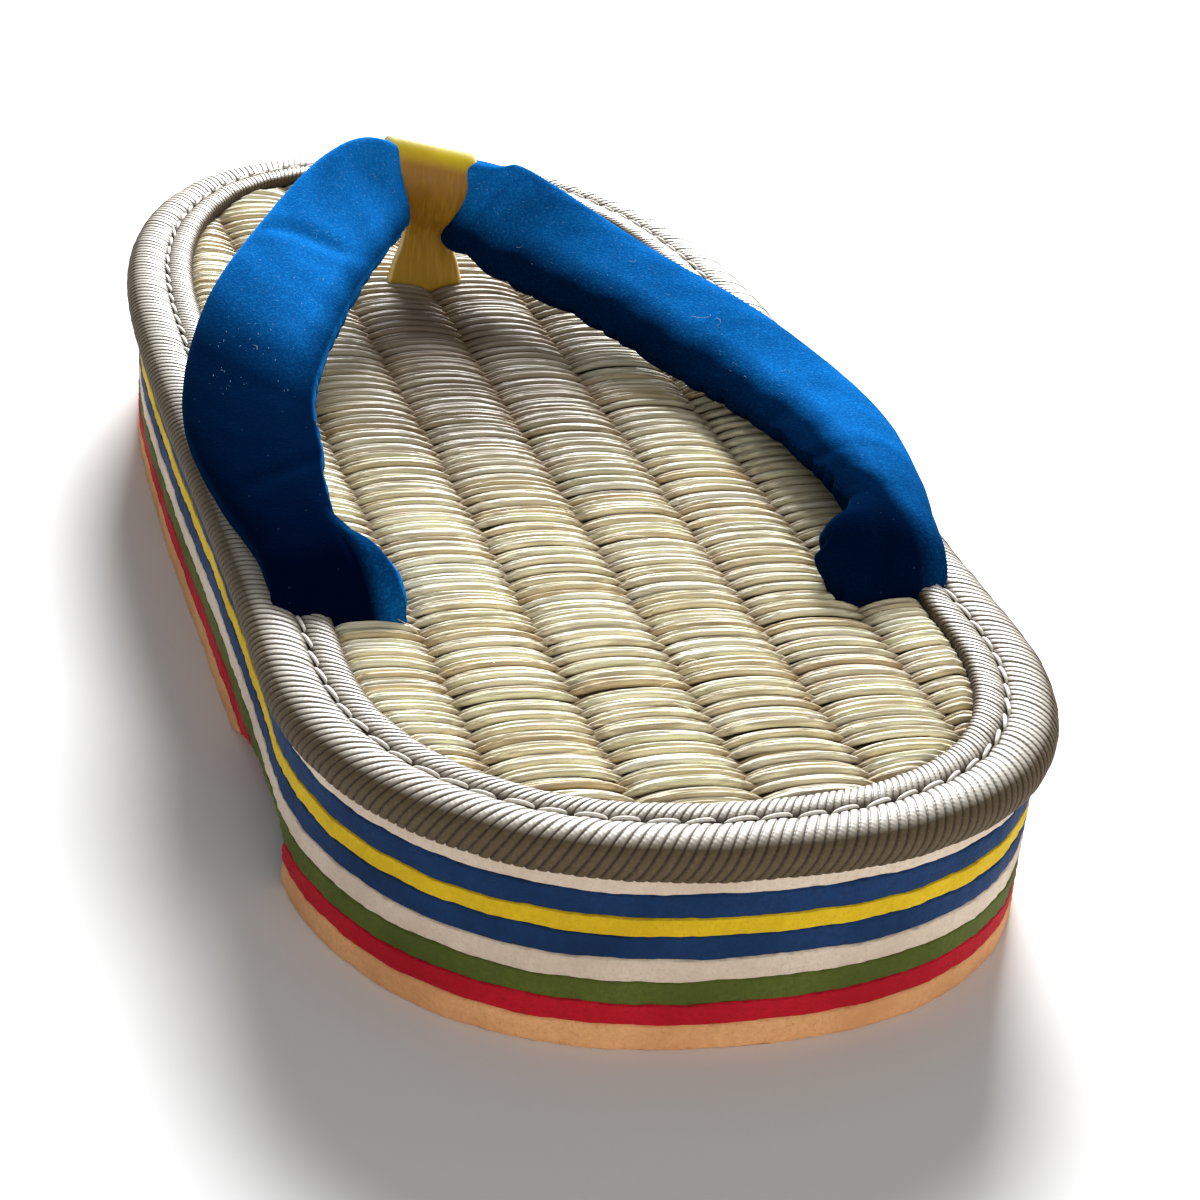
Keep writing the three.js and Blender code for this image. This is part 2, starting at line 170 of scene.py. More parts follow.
def make_piece(name, points, quads, triangles=None, values=None):
    """A mesh object from arrays of points, quads and triangles, with one value a point for each name in
    values. Where the faces enclose a volume below zero, they point inwards and are turned round."""
    points = np.asarray(points, float).reshape(-1, 3)
    quads = np.asarray(quads).reshape(-1, 4)
    triangles = np.zeros((0, 3), int) if triangles is None else np.asarray(triangles).reshape(-1, 3)
    fan = np.concatenate([quads[:, [0, 1, 2]], quads[:, [0, 2, 3]], triangles])
    a, b, c = points[fan[:, 0]], points[fan[:, 1]], points[fan[:, 2]]
    if np.einsum("ij,ij->i", a, np.cross(b, c)).sum() < 0:
        quads = quads[:, ::-1]
        triangles = triangles[:, ::-1]
    corners = np.concatenate([quads.ravel(), triangles.ravel()])
    starts = np.concatenate([np.arange(len(quads)) * 4, len(quads) * 4 + np.arange(len(triangles)) * 3])
    mesh = bpy.data.meshes.new(name)
    mesh.vertices.add(len(points))
    mesh.vertices.foreach_set("co", points.astype(np.float32).ravel())
    mesh.loops.add(len(corners))
    mesh.loops.foreach_set("vertex_index", corners.astype(np.int32))
    mesh.polygons.add(len(starts))
    mesh.polygons.foreach_set("loop_start", starts.astype(np.int32))
    mesh.update(calc_edges=True)
    mesh.validate()
    for key, value in (values or {}).items():
        attribute = mesh.attributes.new(key, "FLOAT", "POINT")
        attribute.data.foreach_set("value", np.asarray(value, np.float32).ravel())
    mesh.shade_smooth()
    piece = bpy.data.objects.new(name, mesh)
    bpy.context.scene.collection.objects.link(piece)
    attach(piece, "root")
    return piece


def tube_faces(count, rings, sides):
    """Quads along count tubes of rings by sides points, and triangles from their ends to two poles each."""
    base = np.arange(count)[:, None, None] * rings * sides
    ring = np.arange(rings - 1)[None, :, None] * sides
    side = np.arange(sides)[None, None, :]
    a = base + ring + side
    b = base + ring + (side + 1) % sides
    quads = np.stack([a, b, b + sides, a + sides], -1).reshape(-1, 4)
    here = np.arange(sides)
    after = (here + 1) % sides
    start = np.arange(count)[:, None] * rings * sides
    end = start + (rings - 1) * sides
    pole = count * rings * sides + 2 * np.arange(count)[:, None]
    first = np.stack(np.broadcast_arrays(pole, start + after, start + here), -1)
    last = np.stack(np.broadcast_arrays(pole + 1, end + here, end + after), -1)
    return quads, np.concatenate([first.reshape(-1, 3), last.reshape(-1, 3)])


def tubes(name, rings, values=None):
    """Closed tubes from an array of tubes by rings by sides by three, each end closed at its middle."""
    count, along, sides, _ = rings.shape
    poles = np.stack([rings[:, 0].mean(1), rings[:, -1].mean(1)], 1)
    points = np.concatenate([rings.reshape(-1, 3), poles.reshape(-1, 3)])
    quads, triangles = tube_faces(count, along, sides)
    full = {}
    for key, value in (values or {}).items():
        value = np.broadcast_to(value, (count, along, sides))
        ends = np.stack([value[:, 0].mean(1), value[:, -1].mean(1)], 1)
        full[key] = np.concatenate([value.ravel(), ends.ravel()])
    return make_piece(name, points, quads, triangles, full)


def ring_faces(rows, sides):
    """Quads of a closed ring of closed sections."""
    row = np.arange(rows)[:, None]
    side = np.arange(sides)[None, :]
    a = row * sides + side
    b = row * sides + (side + 1) % sides
    after = ((row + 1) % rows) * sides
    return np.stack([a, b, after + (side + 1) % sides, after + side], -1).reshape(-1, 4)


def weld(piece):
    """Merges points that coincide, so that walls close where they meet."""
    reach = 0.001 * mm
    work = bmesh.new()
    work.from_mesh(piece.data)
    bmesh.ops.remove_doubles(work, verts=work.verts, dist=reach)
    bmesh.ops.dissolve_degenerate(work, edges=work.edges, dist=reach)
    work.to_mesh(piece.data)
    work.free()


def crisp_edges(piece):
    """Keeps a mesh's edges sharp where its faces turn by more than 40 degrees."""
    piece.data.set_sharp_from_angle(angle=math.radians(40))


def unevenness(place, waves, seed):
    """A smooth wavy value near -1 to 1: a sum of sines with the given wavelengths and seeded phases."""
    draw = np.random.default_rng(seed)
    total = np.zeros(np.shape(place))
    for wave in waves:
        total = total + np.sin(2 * np.pi * np.asarray(place) / wave + draw.uniform(0, 2 * np.pi))
    return total / len(waves)


# Outline

def rim_table():
    """The taped edge from above, anticlockwise from the middle of the heel. Each end is a squared ellipse,
    x = half width times sin(turn) to the power 2 / squareness, and the sides flare by half a cosine."""
    turn = np.linspace(0, np.pi / 2, 1500)
    heel_x = heel_width / 2 * np.sin(turn) ** (2 / heel_squareness)
    heel_place = heel_run * (1 - held(np.cos(turn)) ** (2 / heel_squareness))
    share = np.linspace(0, 1, 600)[1:-1]
    side_x = heel_width / 2 + (ball_width - heel_width) / 4 * (1 - np.cos(share * np.pi))
    side_place = heel_run + (length - heel_run - toe_run) * share
    toe_x = ball_width / 2 * np.sin(turn[::-1]) ** (2 / toe_squareness)
    toe_place = length - toe_run * (1 - held(np.cos(turn[::-1])) ** (2 / toe_squareness))
    x = np.concatenate([heel_x, side_x, toe_x])
    y = heel_y + np.concatenate([heel_place, side_place, toe_place])
    x = np.concatenate([x, -x[-2::-1]])
    y = np.concatenate([y, y[-2::-1]])
    along = np.concatenate([[0], np.cumsum(np.hypot(np.diff(x), np.diff(y)))])
    return along, x, y


rim_along, rim_x, rim_y = rim_table()
rim_total = rim_along[-1]
on_right = rim_along < rim_total / 2
lap_start = np.interp(heel_y + anchor_from_heel + lap_past_anchor, rim_y[on_right], rim_along[on_right])
lap_end = lap_start + lap_length


def on_rim(stops):
    """Points at distances along the rim."""
    stops = np.mod(stops, rim_total)
    return np.stack([np.interp(stops, rim_along, rim_x), np.interp(stops, rim_along, rim_y)], -1)


def rim(stops):
    """Points and outward directions at distances along the rim. A direction is the tangent between the points
    a little before and after, turned by a quarter."""
    reach = 0.6 * mm
    tangent = unit(on_rim(stops + reach) - on_rim(stops - reach))
    return on_rim(stops), np.stack([tangent[..., 1], -tangent[..., 0]], -1)


def rim_inset(stops, inset):
    """Points at distances along the rim, moved inwards."""
    point, outward = rim(stops)
    return point - outward * np.asarray(inset)[..., None]


# Foam sheets

# Points up the wall of a sheet, as shares of its height, and how far its edges draw in
wall_share = np.array([0, 0.07, 0.22, 0.42, 0.62, 0.8, 0.93, 1])
wall_draw_in = np.array([0.32, 0.06, 0, 0, 0, 0, 0.06, 0.32]) * mm


def arch(y):
    """Height of the arch over the floor at a place along the sandal."""
    start = heel_y + heel_breast
    return np.interp(y, start + arch_ahead * arch_length, arch_rise * arch_height, left=0, right=0)


def arch_end(height):
    """Where the far slope of the arch comes down to a height, as a share of the arch's length."""
    return np.interp(height, arch_rise[:3:-1] * arch_height, arch_ahead[:3:-1])


def joint_height(distance, level):
    """How far the joint between two sheets wanders up or down along the wall. It fades out where both walls
    meet at the heel, and the floor and the top stay flat."""
    if level < 0.1 * mm or level > foam_top - 0.1 * mm:
        return np.zeros(np.shape(distance))
    fade = held(np.minimum(distance, rim_total - distance) / (4 * mm))
    return joint_wave * fade * unevenness(distance, [0.037, 0.019, 0.0083], round(level / mm))


def foam_sheet(name, node, slot, from_y, to_y, seed):
    """One foam sheet as sections across the sandal: two walls at the inset outline, each wavy and rounded at
    its edges, joined by a flat top and by an underside that lifts over the arch."""
    low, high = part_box(node)
    marks = np.concatenate([arch_ahead, np.linspace(0, 1, 60)])
    if low.z < arch_height:
        marks = np.concatenate([marks, arch_end([low.z, high.z])])
    stops = np.linspace(0, rim_total / 2, 420)
    place = rim_inset(stops, foam_inset)[:, 1]
    marks = np.interp(heel_y + heel_breast + marks * arch_length, place, stops)
    stops = np.unique(np.concatenate([stops, marks]))
    place = rim_inset(stops, foam_inset)[:, 1]
    slack = 0.0001 * mm
    keep = (place > from_y - slack) & (place < to_y + slack)
    stops = stops[keep]
    point, outward = rim(stops)
    bottom = np.clip(arch(place[keep]), low.z, high.z)
    walls = []
    for side in (1, -1):
        height = bottom[:, None] + (high.z - bottom)[:, None] * wall_share
        distance = stops if side > 0 else rim_total - stops
        wave = (sheet_wave * unevenness(distance, [0.043, 0.021, 0.0093], seed)
                + knife_wave * unevenness(distance, [0.0031, 0.0019], seed + 1))[:, None]
        wave = wave + knife_wave * unevenness(distance[:, None] + 2.3 * height, [0.0047, 0.0028], seed + 2)
        inset = foam_inset + wall_draw_in - wave * np.minimum(1, np.abs(point[:, :1]) / mm)
        on_joint = (1 - wall_share) * (bottom == low.z)[:, None]
        height = height + joint_height(distance, low.z)[:, None] * on_joint
        height = height + joint_height(distance, high.z)[:, None] * wall_share
        across = point[:, None, 0] - outward[:, None, 0] * inset
        ahead = point[:, None, 1] - outward[:, None, 1] * inset
        walls.append(np.stack([side * np.maximum(across, 0), ahead, height], -1))
    rings = np.concatenate([walls[0], walls[1][:, ::-1]], 1)
    count, sides, _ = rings.shape
    faces = [tube_faces(1, count, sides)[0]]
    for row in (0, count - 1):
        wide, _, tall = rings[row].max(0) - rings[row].min(0)
        if wide > mm and tall > 0.001 * mm:
            here = row * sides + np.arange(sides // 2 - 1)
            there = row * sides + sides - 1 - np.arange(sides // 2 - 1)
            end = np.stack([here, here + 1, there - 1, there], -1)
            faces.append(end if row == 0 else end[:, ::-1])
    piece = make_piece(name, rings, np.concatenate(faces))
    weld(piece)
    crisp_edges(piece)
    piece.data.materials.append(foam_finishes[slot])
    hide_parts(node)


def foam_sole():
    """The ten pieces of the sole. The two lowest sheets are cut in two: their forefoot starts where the far
    slope of the arch comes down to their top."""
    breast = heel_y + heel_breast
    toe = heel_y + length
    peach_front, red_front = (breast + arch_end(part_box(node)[1].z) * arch_length
                              for node in ("outsole_forefoot", "red_layer_forefoot"))
    rows = [
        ("peach_foam_heel", "outsole_heel", "peach_foam", heel_y, breast),
        ("peach_foam_forefoot", "outsole_forefoot", "peach_foam", peach_front, toe),
        ("red_foam_heel", "red_layer_heel", "red_foam", heel_y, breast),
        ("red_foam_forefoot", "red_layer_forefoot", "red_foam", red_front, toe),
        ("green_foam_sheet", "green_layer", "green_foam", heel_y, toe),
        ("white_foam_sheet", "white_layer", "white_foam", heel_y, toe),
        ("lower_blue_foam_sheet", "lower_blue_layer", "blue_foam", heel_y, toe),
        ("yellow_foam_sheet", "yellow_layer", "yellow_foam", heel_y, toe),
        ("upper_blue_foam_sheet", "upper_blue_layer", "blue_foam", heel_y, toe),
        ("top_white_foam_sheet", "top_white_layer", "white_foam", heel_y, toe),
    ]
    for i, row in enumerate(rows):
        foam_sheet(*row, seed=10 + 7 * i)


# Rush stems

def stem_columns():
    """The left seam of each column at the middle of the sandal."""
    first = -math.ceil(ball_width / 2 / column_pitch)
    return [(first + k) * column_pitch + seam_offset for k in range(2 * -first + 1)]


def column_stems(seam, number, edge, draw):
    """Stems of one column, in threes from thick to thin: each runs from seam to seam, arches over the column
    like a bow, thins to a point past each seam and is pressed down where the tape covers it."""
    rows = np.arange(heel_y + tape_width - stem_pitch, heel_y + length - tape_width + stem_pitch, stem_pitch)
    rows = rows + (number % 2) * stem_pitch / 2 + draw.normal(0, 0.05, len(rows)) * stem_pitch
    kind = np.repeat([0, 1, 2], len(rows))
    middle = np.concatenate([rows, rows + 0.37 * stem_pitch, rows + 0.67 * stem_pitch])
    middle = middle + draw.normal(0, 0.025, len(middle)) * stem_pitch
    half = np.interp(middle, edge[:, 1], edge[:, 0], left=0, right=0)
    reach = stem_overlap * draw.uniform(0.75, 1.25, (2, len(middle)))
    left = np.maximum(seam + column_slant * middle - reach[0], -half)
    right = np.minimum(seam + column_pitch + column_slant * middle + reach[1], half)
    keep = right - left > 1.5 * mm
    middle, left, right, kind = middle[keep], left[keep], right[keep], kind[keep, None]
    count = len(middle)
    share = (1 - np.cos(np.linspace(0, np.pi, 14))) / 2
    share = 0.35 * share + 0.65 * np.linspace(0, 1, 14)
    x = left[:, None] + (right - left)[:, None] * share
    across = (x - seam - column_slant * middle[:, None]) / column_pitch
    from_crest = np.abs(2 * across - 1)
    drop = column_drop * from_crest**column_squareness
    lift = (draw.normal(0, 0.09, (count, 1)) - np.choose(kind, (0.0, 0.08, 0.34))) * mm
    tilt = draw.normal(0, 0.014, (count, 1))
    wander = 0.1 * mm * np.sin(share * np.pi * 2 + draw.uniform(0, 6.28, (count, 1)))
    pinch = np.choose(kind, (0.3, 0.0, -0.5)) * mm * held(from_crest - 0.5)
    y = middle[:, None] + tilt * (x - (left + right)[:, None] / 2) + wander + pinch
    tip = held((1.22 - from_crest) / 0.42) ** 0.65
    edge_x = np.interp(y, edge[:, 1], edge[:, 0], left=0, right=0)
    from_tape = held((edge_x - np.abs(x)) / np.interp(y, edge[:, 1], edge[:, 2]))
    free = held(from_tape / (1.8 * mm)) ** 0.5
    foot = foam_top + stem_foot
    z = foot + (mat_top - 0.2 * mm - drop + lift - foot) * free
    spare = draw.uniform(0.85, 1.15, (2, count, 1))
    wide = np.choose(kind, (0.58, 0.45, 0.38)) * spare[0] * mm * (0.15 + 0.85 * tip)
    tall = np.choose(kind, (0.56, 0.46, 0.36)) * spare[1] * mm * (0.3 + 0.7 * tip)
    angle = full_turn(6) + np.pi / 6
    ring_y = y[..., None] + wide[..., None] * np.cos(angle)
    ring_z = z[..., None] + tall[..., None] * np.sin(angle)
    rings = np.stack([np.broadcast_to(x[..., None], ring_y.shape), ring_y, ring_z], -1)
    shade = np.broadcast_to(draw.uniform(0, 1, (count, 1, 1)), ring_y.shape)
    # deep: brown ends, deepened by painted shade where the stems dive into the seams and on the lower,
    # thinner stems.
    deep = held(0.6 * (1 - tip) + 0.7 * held(from_crest - 0.6) + 0.1 * kind)
    return rings, shade, np.broadcast_to(deep[..., None], ring_y.shape)


def rush_stems():
    """Both sets of columns. Their edge is the tape's inner edge on one side: how far out it is, where along
    the sandal, and how much longer it is than the way along."""
    flat = rim_inset(np.linspace(0, rim_total / 2, 900), tape_width + 0.2 * mm)
    slope = np.gradient(flat[:, 0], flat[:, 1] + np.arange(900) * 1e-9)
    edge = np.concatenate([flat, np.hypot(1, slope)[:, None]], 1)
    for parity, name in ((0, "rush_stems_even"), (1, "rush_stems_odd")):
        draw = np.random.default_rng(40 + parity)
        parts = [column_stems(seam, number, edge, draw)
                 for number, seam in enumerate(stem_columns()) if number % 2 == parity]
        rings, shade, deep = (np.concatenate([part[k] for part in parts]) for k in range(3))
        piece = tubes(name, rings, {"shade": shade, "deep": deep})
        piece.data.materials.append(rush_finish)
        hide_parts("rush_mat")


def mat_ground():
    """The weft under the stems: a thin sheet with the sandal's outline, drawn in to lie inside the tape."""
    count = 360
    stops = np.linspace(0, rim_total, count, endpoint=False)
    sides = []
    for inset, height in ((1.5, 0.02), (1.5, 1.0), (1.9, 1.2)):
        flat = rim_inset(stops, inset * mm)
        sides.append(np.concatenate([flat, np.full((count, 1), foam_top + height * ground_height)], 1))
    middle = sides[0][:, :2].mean(0)
    points = np.concatenate([*sides, [[*middle, sides[0][0, 2]], [*middle, sides[2][0, 2]]]])
    here = np.arange(count)
    after = (here + 1) % count
    wall = np.stack([here, after, after + count, here + count], -1)
    quads = np.concatenate([wall, wall + count])
    low = np.stack([after, here, np.full(count, 3 * count)], -1)
    high = np.stack([here + 2 * count, after + 2 * count, np.full(count, 3 * count + 1)], -1)
    piece = make_piece("rush_ground", points, quads, np.concatenate([low, high]))
    crisp_edges(piece)
    piece.data.materials.append(ground_finish)
    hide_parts("rush_mat")


def rush_frays():
    """Loose fibres on the mat: thin tubes along arcs that leave the stems and come down again."""
    draw = np.random.default_rng(60)
    count = 70
    side = draw.integers(-3, 4, count) * column_pitch + seam_offset
    middle = draw.uniform(heel_y + 15 * mm, heel_y + length - 18 * mm, count)
    reach = draw.uniform(2.0, 6.5, count)[:, None] * mm
    share = np.linspace(0, 1, 9)
    heading = draw.normal(0, 0.5, count)[:, None] + draw.normal(0, 0.9, count)[:, None] * share
    step = reach / 8 * np.where(draw.random(count) < 0.5, -1, 1)[:, None]
    x = (side + column_slant * middle)[:, None] + np.cumsum(step * np.cos(heading), axis=1)
    y = middle[:, None] + np.cumsum(step * np.sin(heading), axis=1)
    seam = np.mod((x - seam_offset - column_slant * y) / column_pitch, 1)
    drop = column_drop * np.abs(2 * seam - 1) ** column_squareness
    z = mat_top + 0.35 * mm - drop + draw.uniform(0.1, 0.6, count)[:, None] * mm * np.sin(share * np.pi)
    keep = np.abs(x).max(1) < np.interp(middle, rim_y[:len(rim_y) // 2], rim_x[:len(rim_y) // 2]) - 12 * mm
    middle_line = np.stack([x, y, z], -1)[keep]
    radius = 0.07 * mm * (1 - 0.6 * share)[None, :, None, None]
    angle = full_turn(5)
    section = np.stack([0.3 * np.cos(angle), np.cos(angle), np.sin(angle)], -1)
    rings = middle_line[:, :, None] + radius * section
    shade = np.broadcast_to(draw.uniform(0, 1, (len(rings), 1, 1)), rings.shape[:3])
    piece = tubes("rush_frays", rings, {"shade": shade, "deep": np.zeros(rings.shape[:3])})
    piece.data.materials.append(rush_finish)


# Ribbed tape

# Sections of the tape, over and under it: distance in from the rim and height over the top of the foam, in
# millimetres.
roll_profile = np.array([
    (1.6, 0.0), (0.95, -0.05), (0.35, 0.5), (0.05, 1.4), (0.05, 2.3), (0.45, 3.2), (1.3, 4.0), (2.5, 4.45),
    (3.8, 4.55), (5.0, 4.4), (5.9, 4.1), (6.35, 3.85),
]) * mm
band_profile = np.array([
    (6.3, 3.85), (6.6, 4.05), (7.3, 4.35), (8.3, 4.45), (9.4, 4.3), (10.1, 3.9), (10.4, 3.1),
]) * mm
roll_under = np.array([(6.35, 2.6), (1.3, 2.6), (1.3, 0.1)]) * mm
band_under = np.array([(10.4, 2.6), (6.3, 2.6)]) * mm


def smooth_row(points, count):
    """Points evenly along a smooth curve through a row of points."""
    fine = spline(points, np.linspace(0, len(points) - 1, 40 * len(points)))
    along = travelled(fine)
    even = np.linspace(0, along[-1], count)
    return np.stack([np.interp(even, along, fine[:, k]) for k in range(fine.shape[1])], -1)


def spline(points, at):
    """Centripetal Catmull-Rom curve: point number at of a row of points, with fractions between them."""
    points = np.asarray(points, float)
    ends = np.concatenate([[2 * points[0] - points[1]], points, [2 * points[-1] - points[-2]]])
    i = np.clip(np.floor(at).astype(int), 0, len(points) - 2)
    t = (at - i)[:, None]
    p0, p1, p2, p3 = ends[i], ends[i + 1], ends[i + 2], ends[i + 3]
    d0, d1, d2 = (np.maximum(np.linalg.norm((b - a)[:, :3], axis=1), 1e-9)[:, None] ** 0.5
                  for a, b in ((p0, p1), (p1, p2), (p2, p3)))
    m1 = d1 * ((p1 - p0) / d0 - (p2 - p0) / (d0 + d1) + (p2 - p1) / d1)
    m2 = d1 * ((p2 - p1) / d1 - (p3 - p1) / (d1 + d2) + (p3 - p2) / d2)
    return ((2 * t**3 - 3 * t**2 + 1) * p1 + (t**3 - 2 * t**2 + t) * m1
            + (3 * t**2 - 2 * t**3) * p2 + (t**3 - t**2) * m2)


def ribbed_ring(name, profile, under, pitch, sections, slant, seed):
    """A closed ring round the rim: a profile carried along it, with slanting ribs raised along the profile's
    normal by one minus the fifth power of the distance from each rib's middle. Its points know how near they
    are to a crest, how far along the thread's twist, and how much they face up, which sets the painted light
    on the tape's top."""
    ribs = round(rim_total / pitch)
    row = smooth_row(profile, sections)
    tangent = unit(np.gradient(row, axis=0))
    normal = np.stack([tangent[:, 1], -tangent[:, 0]], -1)
    if normal[len(row) // 2, 1] < 0:
        normal = -normal
    depth = travelled(row)
    fade = held(np.minimum(depth, depth[-1] - depth) / (0.7 * mm))
    stops = np.arange(ribs * rib_steps) / (ribs * rib_steps) * rim_total
    drift = 0.1 * unevenness(stops, [rim_total / 3, rim_total / 7, rim_total / 17], seed)
    place = stops[:, None] + slant * depth[None] + (drift * rim_total / ribs)[:, None]
    number, step = np.divmod(np.arange(ribs * rib_steps), rib_steps)
    crest = (1 - np.abs(2 * step / rib_steps - 1) ** 5)[:, None] * np.ones(len(row))
    uneven = (0.85 + 0.3 * np.mod(number * 0.754877, 1))[:, None]
    lift = rib_height * crest * fade * uneven
    inset = row[None, :, 0] + normal[None, :, 0] * lift
    height = foam_top + row[None, :, 1] + normal[None, :, 1] * lift
    swell = tape_swell * unevenness(place, [rim_total / 11, rim_total / 29, rim_total / 53], seed + 1)
    stitches = round(rim_total / stitch_pitch)
    pucker = stitch_pucker * (0.5 + 0.5 * np.cos(2 * np.pi * place / rim_total * stitches))
    height = height + swell * fade[None] - pucker * bell(row[:, 0], stitch_inset, 1.3 * mm)
    lap = held((place - lap_start) / lap_edge) * held((lap_end - place) / lap_edge)
    inset = inset + normal[None, :, 0] * lap_thickness * lap
    height = height + normal[None, :, 1] * lap_thickness * lap
    crest = crest * (1 - 0.9 * bell(place, lap_start, 0.6 * mm))
    below = (len(stops), len(under))
    inset = np.concatenate([inset, np.broadcast_to(under[:, 0], below)], 1)
    height = np.concatenate([height, np.broadcast_to(foam_top + under[:, 1], below)], 1)
    share = np.linspace(1, 0, len(under))
    place = np.concatenate([place, place[:, -1:] * share + place[:, :1] * (1 - share)], 1)
    points = np.concatenate([rim_inset(place, inset), height[..., None]], -1)
    crest = np.concatenate([crest * fade, np.zeros(below)], 1)
    # Painted light: how much a point faces up, which lightens and silvers the top of the tape.
    painted_top_light = np.concatenate([held((normal[:, 1] - 0.8) / 0.17), np.zeros(len(under))])
    twist = place * 1.5 / (rim_total / ribs) + np.concatenate([depth, np.zeros(len(under))]) / (0.9 * mm)
    values = {"crest": crest, "twist": twist, "painted_top_light": np.broadcast_to(painted_top_light, crest.shape)}
    return make_piece(name, points, ring_faces(*inset.shape), values=values)


def ribbed_tape():
    """The tape in two rings: a roll over the rim and a band inside the stitch."""
    roll = ribbed_ring("tape_roll", roll_profile, roll_under, rib_pitch, 22, 0.6, 71)
    band = ribbed_ring("tape_band", band_profile, band_under, inner_rib_pitch, 12, 0.8, 81)
    for piece in (roll, band):
        piece.data.materials.append(tape_finish)
        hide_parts("edge_binding")


def running_stitch():
    """Cream thread along the groove of the tape: each stitch is an arc from hole to hole, turned a little
    across the groove, and its thread is a round tube that thins into the holes."""
    draw = np.random.default_rng(91)
    count = round(rim_total / stitch_pitch)
    start = np.arange(count) * rim_total / count + draw.normal(0, 0.12, count) * mm
    reach = rim_total / count * draw.uniform(0.84, 0.95, count)
    share = np.linspace(0, 1, 11)
    stops = start[:, None] + reach[:, None] * share
    turn = draw.normal(0.3, 0.14, count)[:, None] * mm
    inset = stitch_inset + 0.05 * mm + turn * (share - 0.5) * 1.6
    bulge = np.sin(share * np.pi) ** 0.5
    height = foam_top + stitch_height + stitch_arc * bulge + draw.normal(0, 0.05, (count, 1)) * mm
    middle = np.concatenate([rim_inset(stops, inset), np.broadcast_to(height, stops.shape)[..., None]], -1)
    _, outward = rim(stops)
    outward = np.concatenate([outward, np.zeros((*stops.shape, 1))], -1)
    radius = thread_radius * (0.55 + 0.45 * bulge)
    angle = full_turn(8)[:, None]
    section = outward[:, :, None] * np.cos(angle) + np.array([0, 0, 1.0]) * np.sin(angle)
    rings = middle[:, :, None] + radius[:, None, None] * section
    piece = tubes("running_stitch", rings)
    piece.data.materials.append(thread_finish)


# Velvet straps

# One strap from its anchor to the loop, as in the frame: how far out, as a share of the anchors' spread, how
# far ahead, as a share of the way to the loop, its height as a share of the strap's rise, its width and
# thickness as shares of the strap's, and its tilt in degrees. The bridge through the loop's eye has its place
# across as a share of the loop's width, how much it bows back, its tilt in degrees, and its height as a share
# of the bridge's.
strap_table = np.array([
    (1.0, -0.02, -0.35, 0.66, 1.15, -16),
    (1.01, -0.008, 0.0, 0.69, 1.15, -16),
    (1.03, 0.02, 0.21, 0.72, 1.1, -16),
    (1.08, 0.08, 0.31, 0.75, 0.95, -15),
    (1.15, 0.19, 0.34, 0.8, 0.9, -12),
    (1.16, 0.37, 0.39, 0.9, 0.9, 0),
    (0.98, 0.58, 0.51, 0.96, 0.95, 11),
    (0.65, 0.79, 0.71, 0.92, 0.95, 20),
    (0.36, 0.925, 0.9, 0.86, 0.95, 42),
    (0.255, 0.963, 0.95, 0.74, 0.95, 62),
])
bridge_table = np.array([(-0.46, 1, 84, 1.08), (0, 0, 90, 1), (0.46, 1, 84, 1.16)])
strap_squareness = 4.2


def strap_rows():
    """Places, widths, thicknesses and tilts through both straps, from the left anchor to the right one. The
    right strap's front is a little wider, higher and further ahead than the left one's."""
    out, ahead, rise, width, thick, tilt = strap_table.T
    run = loop_from_heel - anchor_from_heel
    near = np.maximum(0, ahead)
    sides = []
    for sign in (-1, 1):
        sides.append(np.stack([
            sign * out * anchor_spread + (1 - near) * anchor_across + near * loop_across,
            heel_y + anchor_from_heel + ahead * run,
            mat_top + rise * strap_rise - sign * near * front_lean,
            width * strap_width, thick * strap_thickness, tilt * mm,
        ], -1))
    sides[1][-2:, 3] *= (1.05, 1.08)
    sides[1][-2:, 2] += (0.45 * mm, 1.75 * mm)
    sides[1][-1, 1] += 0.8 * mm
    across, back, lean, tall = bridge_table.T
    bridge = np.stack([
        loop_across + across * loop_width,
        heel_y + loop_from_heel - back * bridge_bow,
        mat_top + bridge_above - across * loop_width * loop_slope,
        bridge_height * tall, np.full(3, bridge_thickness), lean * mm,
    ], -1)
    return np.concatenate([sides[0], bridge, sides[1][::-1]])


# Creases, one by one: strap side, millimetres from the loop, angle of its middle round the section (0 is the
# inner edge, 90 the top, 180 the outer edge), half its reach in degrees, half width and depth in millimetres,
# and slant in millimetres for a full quarter turn.
crease_table = [
    (-1, 38, 104, 58, 1.8, 0.42, 3.0),
    (-1, 109, 70, 50, 1.8, 0.35, 5.0),
    (1, 12, 100, 40, 1.3, 0.45, 4.0),
    (1, 92, 30, 40, 2.6, 0.25, -4.0),
    (1, 108, 60, 50, 1.8, 0.45, -3.0),
]

# How far the edges of each strap move near its base: millimetres from the base's lower end, then how far the
# inner edge moves inwards and the outer edge moves outwards, for the left strap and for the right one.
base_table = [
    (0, 0, 3.0, 1.5, 0.2), (6, 0.2, 3.0, 2.6, 0.1), (8.5, -0.4, 2.7, 4.4, 0), (11, -1.8, 2.2, 3.0, -0.3),
    (14, -3.8, 1.6, -0.2, -0.8), (19, -4.6, 0.5, -2.0, -1.2), (26, -2.8, 0, -1.2, -0.8),
    (36, -0.6, 0, 0, -0.3), (44, 0, 0, 0, 0),
]

# Nap of each strap along its top, with painted shade that darkens it towards its base: millimetres from
# the loop and how much of the brushed blue shows.
left_nap_and_shade = [(0, 0.95), (30, 1.0), (42, 0.88), (52, 0.66), (62, 0.36), (72, 0.12), (81, 0.02), (130, 0.0)]
right_nap_and_shade = [(0, 0.7), (14, 0.76), (34, 0.66), (60, 0.62), (88, 0.64), (104, 0.54), (130, 0.18)]


